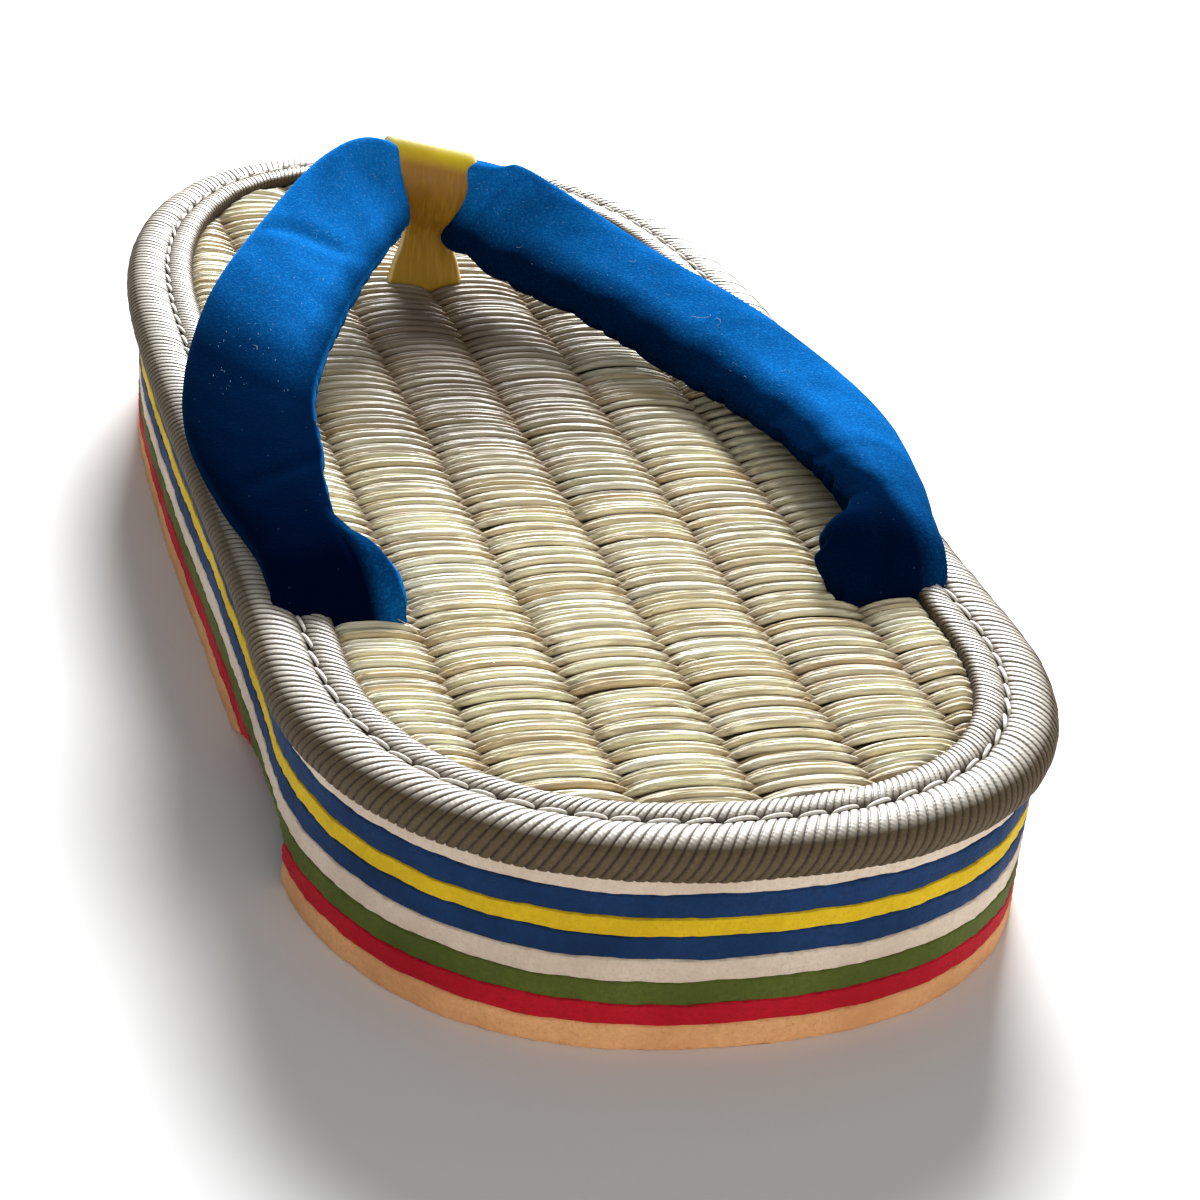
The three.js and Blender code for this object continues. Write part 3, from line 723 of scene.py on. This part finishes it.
def section_points(count):
    """Points spread evenly along the strap's section, a squared ellipse with x = cos(turn) to the power
    2 / squareness and y = sin(turn) to the same power, as their turns and both shares of the half size."""
    turn = np.linspace(0, 2 * np.pi, 4001)
    power = 2 / strap_squareness
    c = np.sign(np.cos(turn)) * np.abs(np.cos(turn)) ** power
    s = np.sign(np.sin(turn)) * np.abs(np.sin(turn)) ** power
    steps = np.hypot(np.diff(c) * strap_width, np.diff(s) * strap_thickness * 1.6)
    along = np.concatenate([[0], np.cumsum(steps)])
    even = np.linspace(0, along[-1], count, endpoint=False)
    return (np.interp(even, along, values) for values in (turn, c, s))


def strap_relief(even, side, from_loop, from_base, angle, c, s):
    """How far the velvet stands out along its normal: soft lumps and a domed top, gathers at the inner edge,
    ripples below it, creases with soft shoulders, and pleats and a tuck at each base."""
    degrees = np.degrees(angle)

    def turned(to):
        return (degrees - to + 180) % 360 - 180

    move = 0.1 * mm * unevenness(even[:, None] + 0.012 * np.sin(angle), [0.061, 0.037], 5)
    move = move + 0.02 * mm * unevenness(even[:, None] * 1.3 + 0.02 * np.cos(angle), [0.0113, 0.0077], 6)
    move = move + top_dome * np.sin(angle) * np.abs(np.sin(angle)) ** 3
    free = held((from_loop - 7 * mm) / (4 * mm))
    drift = 1.7 * unevenness(even, [0.033, 0.021], 8)
    gather = np.abs(np.sin(np.pi * even / gather_pitch + drift)) ** 0.6
    uneven = 0.6 + 0.4 * unevenness(even, [0.019, 0.031], 9)
    move = move - gather_depth * ((1 - gather) * uneven * free)[:, None] * bell(turned(-12), 0, 24)
    ripple = np.sin(2 * np.pi * even / ripple_pitch + 2 * unevenness(even, [0.017], 12))
    move = move + ripple_depth * (ripple * free)[:, None] * bell(turned(-75), 0, 30)
    for which, place, middle, reach, half, depth, slant in crease_table:
        off = from_loop[:, None] / mm - place - slant * turned(middle) / 90
        window = held(1 - (turned(middle) / reach) ** 2) ** 1.2
        trough = bell(off, 0, half) - 0.2 * bell(np.abs(off), 2.1 * half, half)
        move = move - (side == which)[:, None] * depth * mm * window * trough
    low = held(1 - from_base / (15 * mm)) ** 1.3
    pleat = np.sin(7 * angle + 1.4 + 60 * from_base[:, None]) + 0.5 * np.sin(11 * angle + 0.5)
    move = move + base_pleat * low[:, None] * pleat
    tuck = bell(from_base, 9 * mm, 4.5 * mm)[:, None]
    fold = bell(c - 12 * (from_base[:, None] - 9 * mm), 0.28, 0.13)
    return move - tuck_depth * tuck * fold * held(s) ** 0.5


def strap_shift(side, from_loop, from_base, c, s):
    """How far the velvet moves across the strap, ahead and upwards: its edges spread and draw in near each
    base and fill the corners beside the loop, the right one of these hangs back, and the inner half of the
    top slopes down."""
    from_end, *reaches = np.array(base_table).T * mm
    left_in, left_out, right_in, right_out = (np.interp(from_base, from_end, reach) for reach in reaches)
    inner = np.where(side > 0, right_in, left_in)[:, None] * held(c) ** 1.2
    outer = np.where(side > 0, right_out, left_out)[:, None] * held(-c) ** 1.2
    corner = bell(from_loop, 9.5 * mm, 3 * mm) * np.where(side > 0, 2.0, 0.9) * mm
    across = inner - outer + corner[:, None] * held(c) ** 2
    skew = corner_hang * bell(from_loop, 10 * mm, 4 * mm) * (side > 0)
    back = skew[:, None] * held(c) ** 1.5
    past_corner = held((from_loop - 10 * mm) / (8 * mm))
    past_base = held((from_base - 12 * mm) / (10 * mm))
    slope = np.where(side > 0, 1.9, 0.5) * mm * past_corner * past_base
    down = slope[:, None] * held(s) ** 0.5 * held((c - 0.1) / 0.9) ** 1.5
    return across, -back, -down


def strap_nap_and_shade(even, side, from_loop, from_base, angle, c, s):
    """How much of the brushed blue shows, partly nap and partly painted light and shade: the tables along the
    straps, painted shade past a wavy shore near the inner edge and below, brushed patches, a soft lobe at the
    left base, and a painted highlight along the rims."""
    along = from_loop[:, None] / mm
    on_left = side[:, None] < 0
    left_strength = np.interp(along - 8 * c, *np.array(left_nap_and_shade).T)
    strength = np.where(side[:, None] > 0, np.interp(along, *np.array(right_nap_and_shade).T), left_strength)
    limit = np.where(side > 0, np.interp(from_base, np.array([8, 28]) * mm, [-0.5, 0.4]), 0.8)
    shore = limit[:, None] + 0.06 * unevenness(even[:, None], [0.023, 0.0107], 16)
    # Painted shade: darker past a wavy shore near the inner edge and on the underside.
    lit = np.clip((shore + 0.26 - c) / 0.52, 0.06, 1) * held((s + 0.7) / 0.6)
    lobe = 0.45 * (side <= 0)[:, None] * held(1 - from_base[:, None] / (20 * mm))
    lobe = lobe * held((c - 0.3) / 0.3)
    patch = unevenness(even[:, None] + 0.01 * np.cos(angle), [0.05, 0.023, 0.011], 15)
    # Painted highlight along the rims.
    painted_rim_light = 0.6 * held((np.abs(c) - 0.93) / 0.06) * held(s + 0.6)
    front = held((60 - along) / 15)
    past_loop = held((along - 14) / 10)
    painted_rim_light = painted_rim_light * np.where(on_left, np.where(c > 0, 1, front), np.where(c < 0, past_loop, 0))
    return held(strength * lit * (0.9 + 0.2 * patch) + lobe + painted_rim_light)


def velvet_straps():
    """Both straps as one padded tube: a squared ellipse carried along the path, moved along its own normal by
    the relief, and shifted across, ahead and upwards. Returns what the lint needs to lie on it."""
    rows = strap_rows()
    fine = spline(rows, np.linspace(0, len(rows) - 1, 6000))
    gone = travelled(fine[:, :3])
    even = np.linspace(0, gone[-1], 760)
    path = np.stack([np.interp(even, gone, fine[:, k]) for k in range(6)], -1)
    centre, width, thick, tilt = path[:, :3], path[:, 3:4], path[:, 4:5], np.radians(path[:, 5:] / mm)
    travel = unit(np.gradient(centre, axis=0))
    inward = unit(np.stack([travel[:, 1], -travel[:, 0], np.zeros(len(travel))], -1))
    wide = inward * np.cos(tilt) - np.cross(inward, travel) * np.sin(tilt)
    deep = np.cross(wide, travel)
    angle, c, s = section_points(104)
    normal_wide = np.sign(c) * np.abs(c) ** (strap_squareness - 1) / width
    normal_deep = np.sign(s) * np.abs(s) ** (strap_squareness - 1) / thick
    size = np.hypot(normal_wide, normal_deep)
    travel, wide, deep = travel[:, None], wide[:, None], deep[:, None]
    normal = wide * (normal_wide / size)[..., None] + deep * (normal_deep / size)[..., None]
    points = centre[:, None] + wide * (width / 2 * c)[..., None] + deep * (thick / 2 * s)[..., None]

    off_stem = np.abs(centre[:, 0] - loop_across) + np.abs(centre[:, 1] - heel_y - loop_from_heel)
    loop_place = even[np.argmin(off_stem)]
    side = np.sign(even - loop_place)
    from_loop = np.abs(even - loop_place)
    from_base = np.minimum(even, even[-1] - even)
    points = points + normal * strap_relief(even, side, from_loop, from_base, angle, c, s)[..., None]
    for way, move in zip((wide, travel, deep), strap_shift(side, from_loop, from_base, c, s)):
        points = points + way * move[..., None]
    # The nap holds painted light and shade as well as the brushed pile.
    nap = strap_nap_and_shade(even, side, from_loop, from_base, angle, c, s)
    piece = tubes("velvet_straps", points[None], {"nap": nap[None]})
    piece.data.materials.append(velvet_finish)
    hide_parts("strap_upper")
    return points, normal, even, loop_place


# Satin loop

# The ribbon's way in the plane along the sandal: distance ahead of the stem and height over the foam, in
# millimetres, with its width as a share of the loop's width, up the back of the eye and down its front.
ribbon_table = np.array([
    (-0.85, 0.3, 0.84), (-0.8, 3.2, 0.84), (-0.72, 6.6, 0.74), (-0.75, 9.6, 0.6), (-1.1, 12.6, 0.54),
    (-2.7, 15.4, 0.58), (-3.75, 18.6, 0.72), (-3.7, 22.4, 0.9), (-2.4, 25.6, 0.99), (0.0, 26.8, 1.0),
    (2.4, 25.6, 0.99), (3.7, 22.4, 0.9), (3.75, 18.6, 0.72), (2.7, 15.4, 0.58), (1.1, 12.6, 0.54),
    (0.75, 9.6, 0.6), (0.72, 6.6, 0.74), (0.8, 3.2, 0.84), (0.85, 0.3, 0.84),
])


def satin_loop():
    """A ribbon carried up the back of the stem, over the straps and down the front. Its section is a flat
    strip with round edges, curled back a little, with pleats that are deepest at the neck."""
    row = spline(ribbon_table, np.linspace(0, len(ribbon_table) - 1, 240))
    ahead, height, width = row[:, 0] * mm, row[:, 1] * mm, row[:, 2] * loop_width
    way = np.stack([ahead, height], -1)
    step = unit(np.gradient(way, axis=0))
    normal = np.stack([-step[:, 1], step[:, 0]], -1)
    across = np.concatenate([np.linspace(-1, 1, 33), np.linspace(1, -1, 33)[1:-1]])
    face = np.concatenate([np.ones(33), -np.ones(31)])
    face[[0, 32]] = 0
    rounded = np.sqrt(held(1 - np.abs(across) ** 12))
    middle = np.array([0, 13.2 * mm])
    away = np.sign(((way - middle) * normal).sum(1))
    normal = normal * np.where(away == 0, 1, away)[:, None]
    neck = bell(height, neck_height, 7.5 * mm)[:, None]
    pleat = pleat_depth * neck * (np.cos(np.pi * 3.1 * across) + 0.5 * np.cos(np.pi * 5.3 * across + 0.8))
    curl = -0.35 * mm * np.abs(across) ** 6
    offset = pleat + curl + ribbon_thickness / 2 * face * rounded
    x = width[:, None] / 2 * across
    y = ahead[:, None] + normal[:, :1] * offset
    z = height[:, None] + normal[:, 1:] * offset
    lean = held((height - 10 * mm) / (8 * mm))[:, None]
    z = z - x * loop_slope * lean
    points = np.stack([loop_across + x, heel_y + loop_from_heel + y, foam_top + z], -1)
    from_top = np.broadcast_to(np.abs(np.linspace(-1, 1, len(row)))[:, None], x.shape)
    edge = np.broadcast_to(np.abs(across)[None], x.shape)
    piece = tubes("satin_loop", points[None], {"from_top": from_top[None], "edge": edge[None]})
    piece.data.materials.append(satin_finish)
    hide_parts("toe_loop")


# Loose lint on the straps: strap side, millimetres from the loop, angle round the section, length and curl.
lint_table = [
    (1, 58, 84, 4.5, 2.6), (1, 61, 100, 3.2, -1.9), (-1, 14, 70, 1.6, 2.2), (-1, 16, 105, 1.5, -2.4),
    (-1, 9, 88, 1.4, 1.2), (1, 22, 60, 1.5, 2.0), (-1, 74, 90, 1.6, 1.5), (1, 80, 95, 1.4, -1.2),
    (-1, 48, 60, 1.3, 1.4), (1, 40, 110, 1.6, 2.2),
]


def lint_threads(points, normal, even, loop_place):
    """Thin curled hairs that lie on the velvet: the long ones of the table and many short ones."""
    draw = np.random.default_rng(95)
    count = 200
    short = list(zip(draw.choice([-1, -1, 1], count), 8 + 80 * draw.random(count) ** 1.3,
                     draw.uniform(48, 132, count), draw.uniform(0.2, 0.7, count), draw.normal(0, 1.2, count)))
    sides = points.shape[1]
    rings = []
    share = np.linspace(0, 1, 12)
    turn = full_turn(5)
    for side, place, degrees, reach, curl in lint_table + short:
        row = int(np.argmin(np.abs(even - loop_place - side * place * mm)))
        column = int(round(degrees / 360 * sides)) % sides
        foot, up = points[row, column], normal[row, column]
        first = unit(points[row + 1, column] - points[row, column])
        second = np.cross(up, first)
        heading = np.cumsum(curl * share) / len(share) * 2
        step = first * np.cos(heading)[:, None] + second * np.sin(heading)[:, None]
        line = foot + np.cumsum(step, axis=0) * reach * mm / len(share)
        line = line + up * (0.06 + 0.08 * reach * np.sin(share * np.pi))[:, None] * mm
        radius = (0.032 if reach > 1.2 else 0.018) * mm
        rings.append(line[:, None] + radius * (second * np.cos(turn)[:, None] + up * np.sin(turn)[:, None]))
    piece = tubes("lint_threads", np.array(rings))
    piece.data.materials.append(lint_finish)


# Finishes

class Finish:
    """A material built node by node round one Principled shader."""

    def __init__(self, name, roughness, **sockets):
        self.material = bpy.data.materials.new(name)
        self.material.use_nodes = True
        self.tree = self.material.node_tree
        self.shader = next(n for n in self.tree.nodes if n.type == "BSDF_PRINCIPLED")
        self.shader.inputs["Roughness"].default_value = roughness
        for key, value in sockets.items():
            self.shader.inputs[key.replace("_", " ")].default_value = value
        self.place = self.node("ShaderNodeTexCoord").outputs["Object"]

    def node(self, kind, inputs=None, **settings):
        """A new node with its settings, and with values or links fed to its inputs."""
        made = self.tree.nodes.new(kind)
        for key, value in settings.items():
            setattr(made, key, value)
        for key, value in (inputs or {}).items():
            self.feed(made.inputs[key], value)
        return made

    def feed(self, socket, value):
        if isinstance(value, bpy.types.NodeSocket):
            self.tree.links.new(value, socket)
        else:
            socket.default_value = value

    def own(self, name):
        """A value stored on the piece's points."""
        return self.node("ShaderNodeAttribute", attribute_name=name).outputs["Fac"]

    def math(self, operation, a, b=0.0, clamp=False):
        return self.node("ShaderNodeMath", {0: a, 1: b}, operation=operation, use_clamp=clamp).outputs[0]

    def times(self, a, b):
        return self.math("MULTIPLY", a, b)

    def zone(self, x, y, half_x, half_y):
        """One at a place on the mat, falling to nothing at the edge of an ellipse round it."""
        place = self.node("ShaderNodeSeparateXYZ", {0: self.place}).outputs
        squares = [self.math("POWER", self.math("DIVIDE", self.math("SUBTRACT", value, middle), half), 2.0)
                   for value, middle, half in ((place[0], x, half_x), (place[1], y, half_y))]
        return self.math("SUBTRACT", 1.0, self.math("ADD", *squares), clamp=True)

    def stretched(self, x, y, z):
        """The place on the piece, scaled along each axis."""
        return self.node("ShaderNodeMapping", {"Vector": self.place, "Scale": (x, y, z)}).outputs[0]

    def noise(self, scale, detail=3.0, place=None):
        return self.node("ShaderNodeTexNoise", {
            "Vector": self.place if place is None else place, "Scale": scale, "Detail": detail,
            "Roughness": 0.55,
        }).outputs["Fac"]

    def ramp(self, value, stops):
        """A colour by a value from 0 to 1, through stops of a position and a colour each."""
        made = self.node("ShaderNodeValToRGB", {"Fac": value})
        bar = made.color_ramp
        while len(bar.elements) < len(stops):
            bar.elements.new(0.5)
        for element, (position, color) in zip(bar.elements, stops):
            element.position = position
            element.color = (*color, 1)
        return made.outputs["Color"]

    def mix(self, share, a, b):
        a, b = ((*color, 1) if isinstance(color, tuple) else color for color in (a, b))
        return self.node("ShaderNodeMix", {0: share, 6: a, 7: b}, data_type="RGBA").outputs[2]

    def tinted(self, color, *layers):
        """A colour with tints over it. Each grows with a value from low to high, up to its greatest share."""
        for value, low, high, most, tint in layers:
            color = self.mix(self.span(value, low, high, 0.0, most), color, tint)
        return color

    def span(self, value, low, high, to_low=0.0, to_high=1.0):
        """A value moved from one range to another and held inside it."""
        return self.node("ShaderNodeMapRange", {
            "Value": value, "From Min": low, "From Max": high, "To Min": to_low, "To Max": to_high,
        }).outputs["Result"]

    def bump(self, height, distance, strength):
        inputs = {"Height": height, "Distance": distance, "Strength": strength}
        return self.node("ShaderNodeBump", inputs).outputs["Normal"]

    def finish(self, color=None, roughness=None, normal=None):
        for key, value in (("Base Color", color), ("Roughness", roughness), ("Normal", normal)):
            if value is not None:
                self.feed(self.shader.inputs[key], value)
        return self.material


def foam(name, color, dark):
    """Foam with open pores, faint knife marks along the cut and small stains."""
    made = Finish(name, 0.8, Specular_IOR_Level=0.25)
    stain = made.noise(60, 4)
    grain = made.noise(1400, 2)
    speck = made.noise(3000, 1)
    tone = made.tinted(color, (stain, 0.42, 0.72, 1.0, dark), (grain, 0.35, 0.7, 0.45, dark),
                       (speck, 0.58, 0.72, 0.75, dark))
    knife = made.noise(700, 3, made.stretched(0.12, 0.12, 1.6))
    pores = made.node("ShaderNodeTexVoronoi", {"Vector": made.place, "Scale": 1900.0}).outputs["Distance"]
    height = made.math("ADD", made.times(knife, 0.7), made.times(pores, 0.5))
    return made.finish(tone, made.span(stain, 0.3, 0.7, 0.7, 0.92), made.bump(height, 0.2 * mm, 0.7))


def rush():
    """Dried rush: straw to green-grey stems that differ one by one, with streaks along each, brown ends
    deepened by painted shade where the stems dive into the seams, a browner zone under the ball of the foot
    that is partly tread wear and partly painted shade of the straps, and a painted shadow of the loop's stem
    behind it."""
    made = Finish("rush_stems", 0.5, Specular_IOR_Level=0.3)
    stem = made.ramp(made.own("shade"), [
        (0.0, (0.69, 0.53, 0.29)), (0.2, (0.89, 0.79, 0.51)), (0.5, (0.98, 0.93, 0.69)),
        (0.75, (0.88, 0.86, 0.57)), (1.0, (1.0, 0.98, 0.81)),
    ])
    streak = made.noise(260, 3, made.stretched(0.25, 3.2, 1.0))
    fibre = made.noise(800, 2, made.stretched(0.07, 3.6, 2.4))
    pale = made.noise(190, 2, made.stretched(0.3, 2.2, 1.0))
    patch = made.noise(22, 2)
    stem = made.tinted(
        stem,
        (streak, 0.45, 0.75, 0.5, (0.40, 0.29, 0.15)),
        (fibre, 0.48, 0.64, 0.6, (0.32, 0.235, 0.13)),
        (pale, 0.54, 0.76, 0.6, (0.97, 0.93, 0.74)),
        (patch, 0.5, 0.72, 0.35, (0.46, 0.36, 0.25)),
    )
    # Painted shade of the straps over tread wear in the middle of the mat.
    trodden_and_shade = made.times(made.zone(-5 * mm, 20 * mm, 36 * mm, 58 * mm), made.span(patch, 0.3, 0.6, 0.6, 1.0))
    stem = made.mix(trodden_and_shade, stem, (0.17, 0.13, 0.095))
    # Painted shadow of the loop's stem on the mat.
    painted_stem_shadow = made.times(made.zone(-3 * mm, 42 * mm, 9 * mm, 17 * mm), 0.8)
    stem = made.mix(painted_stem_shadow, stem, (0.12, 0.085, 0.05))
    # Painted shade where the stems dive into the seams and on the lower stems, over their brown ends.
    stem = made.tinted(stem, (made.own("deep"), 0.02, 0.8, 0.92, (0.16, 0.085, 0.028)))
    rough = made.span(streak, 0.3, 0.7, 0.42, 0.62)
    return made.finish(stem, rough, made.bump(fibre, 0.3 * mm, 0.75))


def ground():
    """The weft under the stems, its dark brown partly painted shade from the stems above."""
    made = Finish("rush_ground", 0.8)
    streak = made.noise(500, 3, made.stretched(0.2, 2.5, 1.0))
    color = made.mix(made.span(streak, 0.35, 0.7), (0.13, 0.09, 0.04), (0.27, 0.19, 0.09))
    return made.finish(color, None, made.bump(streak, 0.2 * mm, 0.8))


def tape():
    """Olive ribbed tape: grooves darkened as painted shade, fine threads along each rib, a darker side as
    painted shade, and crests painted silvery where they face up as a painted highlight, which are smoother as
    well."""
    made = Finish("ribbed_tape", 0.4, Specular_IOR_Level=0.55)
    crest = made.own("crest")
    # Painted shade: the side of the tape, darkest in the grooves.
    side = made.ramp(crest, [
        (0.0, (0.026, 0.015, 0.006)), (0.6, (0.046, 0.028, 0.010)), (0.85, (0.075, 0.047, 0.017)),
        (1.0, (0.092, 0.06, 0.022)),
    ])
    # Painted highlight: the top of the tape, silvery on the crests and dark in the grooves.
    top = made.ramp(crest, [
        (0.0, (0.06, 0.045, 0.03)), (0.6, (0.17, 0.145, 0.11)), (0.85, (0.43, 0.39, 0.32)),
        (1.0, (0.56, 0.52, 0.44)),
    ])
    patch = made.noise(45, 3)
    # Painted light on the faces that point up.
    painted_top_sheen = made.times(made.own("painted_top_light"), made.span(patch, 0.3, 0.6, 0.75, 1.0))
    grain = made.noise(2400, 2)
    body = made.tinted(made.mix(painted_top_sheen, side, top), (grain, 0.5, 0.75, 0.2, (0.30, 0.24, 0.16)))
    rough = made.math("ADD", made.span(painted_top_sheen, 0.0, 1.0, 0.7, 0.34), made.span(grain, 0.3, 0.7, 0.0, 0.14))
    thread = made.math("SINE", made.times(made.own("twist"), 2 * math.pi))
    height = made.math("ADD", made.times(thread, 0.22), made.times(grain, 0.5))
    return made.finish(body, rough, made.bump(height, 0.06 * mm, 0.6))


def thread():
    """Cream cotton thread with a fine twist."""
    made = Finish("cream_thread", 0.6, Sheen_Weight=0.3)
    twist = made.noise(2600, 2, made.stretched(1, 1, 0.5))
    color = made.mix(made.span(twist, 0.35, 0.7), (0.92, 0.89, 0.82), (0.70, 0.66, 0.56))
    return made.finish(color, None, made.bump(twist, 0.08 * mm, 0.7))


def lint():
    """Pale lint that has taken on some of the velvet's blue."""
    made = Finish("pale_lint", 0.8, Specular_IOR_Level=0.1)
    fade = made.noise(500, 2)
    return made.finish(made.tinted((0.16, 0.36, 0.60), (fade, 0.4, 0.65, 1.0, (0.50, 0.64, 0.74))))


def velvet():
    """Blue velvet: a deep ground, a lighter nap in brushed patches with paler pile, specks of lint where the
    nap is light, and a faint sheen. The nap also holds painted light and shade: the straps darken towards
    their bases, on their inner sides and below, with a painted highlight along the rims."""
    made = Finish("blue_velvet", 0.95, Specular_IOR_Level=0.0, Sheen_Weight=0.05, Sheen_Roughness=0.3,
                  Sheen_Tint=(0.08, 0.45, 0.95, 1.0))
    brushed = made.noise(120, 4)
    pile = made.noise(2600, 2)
    # The nap's share carries painted light and shade as well as the brushed pile.
    share = made.times(made.own("nap"), made.span(brushed, 0.3, 0.7, 0.72, 1.0))
    color = made.mix(share, (0.0002, 0.003, 0.017), (0.007, 0.20, 0.70))
    color = made.mix(made.times(made.span(pile, 0.47, 0.7, 0.0, 0.75), share), color, (0.02, 0.32, 0.84))
    cells = made.node("ShaderNodeTexVoronoi", {"Vector": made.place, "Scale": 800.0})
    dot = made.math("LESS_THAN", cells.outputs["Distance"], 0.12)
    chance = made.node("ShaderNodeSeparateColor", {0: cells.outputs["Color"]}).outputs[0]
    rare = made.math("GREATER_THAN", chance, 0.84)
    speck = made.times(made.times(dot, rare), made.span(share, 0.1, 0.9, 0.05, 0.4))
    color = made.mix(speck, color, (0.22, 0.45, 0.72))
    height = made.math("ADD", made.times(pile, 0.6), made.times(brushed, 0.8))
    return made.finish(color, None, made.bump(height, 0.22 * mm, 0.7))


def satin():
    """Yellow satin with a painted highlight over the straps, browner down its front and back, partly aged
    satin and partly painted shade, with a fine cross weave, worn patches and pale edges."""
    made = Finish("yellow_satin", 0.45, Specular_IOR_Level=0.3)
    weave = made.noise(900, 2, made.stretched(3.0, 1.0, 0.3))
    worn = made.noise(160, 3)
    # Painted highlight at the top of the loop, painted shade down its front and back.
    color = made.ramp(made.own("from_top"), [
        (0.0, (1.0, 0.96, 0.34)), (0.09, (0.97, 0.74, 0.03)), (0.18, (0.30, 0.12, 0.001)),
        (0.5, (0.21, 0.095, 0.006)), (0.78, (0.32, 0.17, 0.01)), (1.0, (0.46, 0.27, 0.014)),
    ])
    color = made.tinted(
        color,
        (worn, 0.4, 0.72, 0.35, (0.42, 0.22, 0.008)),
        (weave, 0.5, 0.8, 0.15, (0.92, 0.68, 0.09)),
        (made.own("edge"), 0.9, 0.96, 0.7, (0.95, 0.82, 0.38)),
    )
    return made.finish(color, made.span(weave, 0.3, 0.7, 0.4, 0.56), made.bump(weave, 0.06 * mm, 0.6))


foam_finishes = {
    "peach_foam": foam("peach_foam", (0.87, 0.47, 0.21), (0.66, 0.31, 0.13)),
    "red_foam": foam("red_foam", (0.56, 0.004, 0.018), (0.38, 0.003, 0.012)),
    "green_foam": foam("green_foam", (0.105, 0.135, 0.018), (0.06, 0.08, 0.012)),
    "white_foam": foam("white_foam", (0.80, 0.67, 0.54), (0.60, 0.47, 0.36)),
    "blue_foam": foam("blue_foam", (0.004, 0.040, 0.14), (0.003, 0.020, 0.07)),
    "yellow_foam": foam("yellow_foam", (0.80, 0.55, 0.012), (0.60, 0.38, 0.008)),
}
rush_finish = rush()
ground_finish = ground()
tape_finish = tape()
thread_finish = thread()
lint_finish = lint()
velvet_finish = velvet()
satin_finish = satin()

foam_sole()
mat_ground()
rush_stems()
rush_frays()
ribbed_tape()
running_stitch()
lint_threads(*velvet_straps())
satin_loop()


# Floor, light and camera

def studio():
    """A pale floor in a softly lit room, a window behind the toe and a weak light on the heel."""
    made = Finish("pale_floor", 0.7, Specular_IOR_Level=0.2)
    tone = made.mix(made.noise(3, 2), (0.80, 0.80, 0.80), (0.84, 0.84, 0.83))
    reach = 4.0
    mesh = bpy.data.meshes.new("pale_floor")
    corners = [(-reach, -reach, 0), (reach, -reach, 0), (reach, reach, 0), (-reach, reach, 0)]
    mesh.from_pydata(corners, [], [(0, 1, 2, 3)])
    mesh.materials.append(made.finish(tone))
    floor = bpy.data.objects.new("pale_floor", mesh)
    bpy.context.scene.collection.objects.link(floor)
    world = bpy.data.worlds.new("soft_room")
    world.use_nodes = True
    background = world.node_tree.nodes["Background"].inputs
    background["Color"].default_value = (0.95, 0.97, 1.0, 1)
    background["Strength"].default_value = 0.3
    bpy.context.scene.world = world
    for name, place, width, power, color in (
        ("window", (0.56, 1.72, 1.06), 0.85, 130.0, (0.99, 0.99, 1.0)),
        ("heel_fill", (0.1, -1.0, 0.16), 0.8, 5.0, (1.0, 0.95, 0.88)),
    ):
        light = bpy.data.lights.new(name, "AREA")
        light.shape = "SQUARE"
        light.size = width
        light.energy = power
        light.color = color
        lamp = bpy.data.objects.new(name, light)
        lamp.location = place
        lamp.rotation_mode = "QUATERNION"
        lamp.rotation_quaternion = (Vector(place) - Vector((0, 0, 0.02))).to_track_quat("Z", "Y")
        bpy.context.scene.collection.objects.link(lamp)


def photo_camera():
    """The camera where the photo was taken from, turned from the middle of that picture towards this sandal:
    its heading to the right of straight ahead, how far it looks down and its roll, in degrees."""
    data = bpy.data.cameras.new("photo_camera")
    data.sensor_width = 36
    data.lens = 77.2
    data.clip_start = 0.01
    place = Vector((-0.0913, -0.3435, 0.1748))
    heading, down, roll = math.radians(17.27), math.radians(26.62), math.radians(5.37)
    look = Vector((math.sin(heading) * math.cos(down), math.cos(heading) * math.cos(down), -math.sin(down)))
    camera = bpy.data.objects.new("photo_camera", data)
    turn = look.to_track_quat("-Z", "Y").to_matrix() @ Matrix.Rotation(roll, 3, "Z")
    camera.matrix_world = Matrix.Translation(place) @ turn.to_4x4()
    bpy.context.scene.collection.objects.link(camera)
    bpy.context.scene.camera = camera


studio()
photo_camera()
bpy.context.scene.view_settings.view_transform = "Standard"
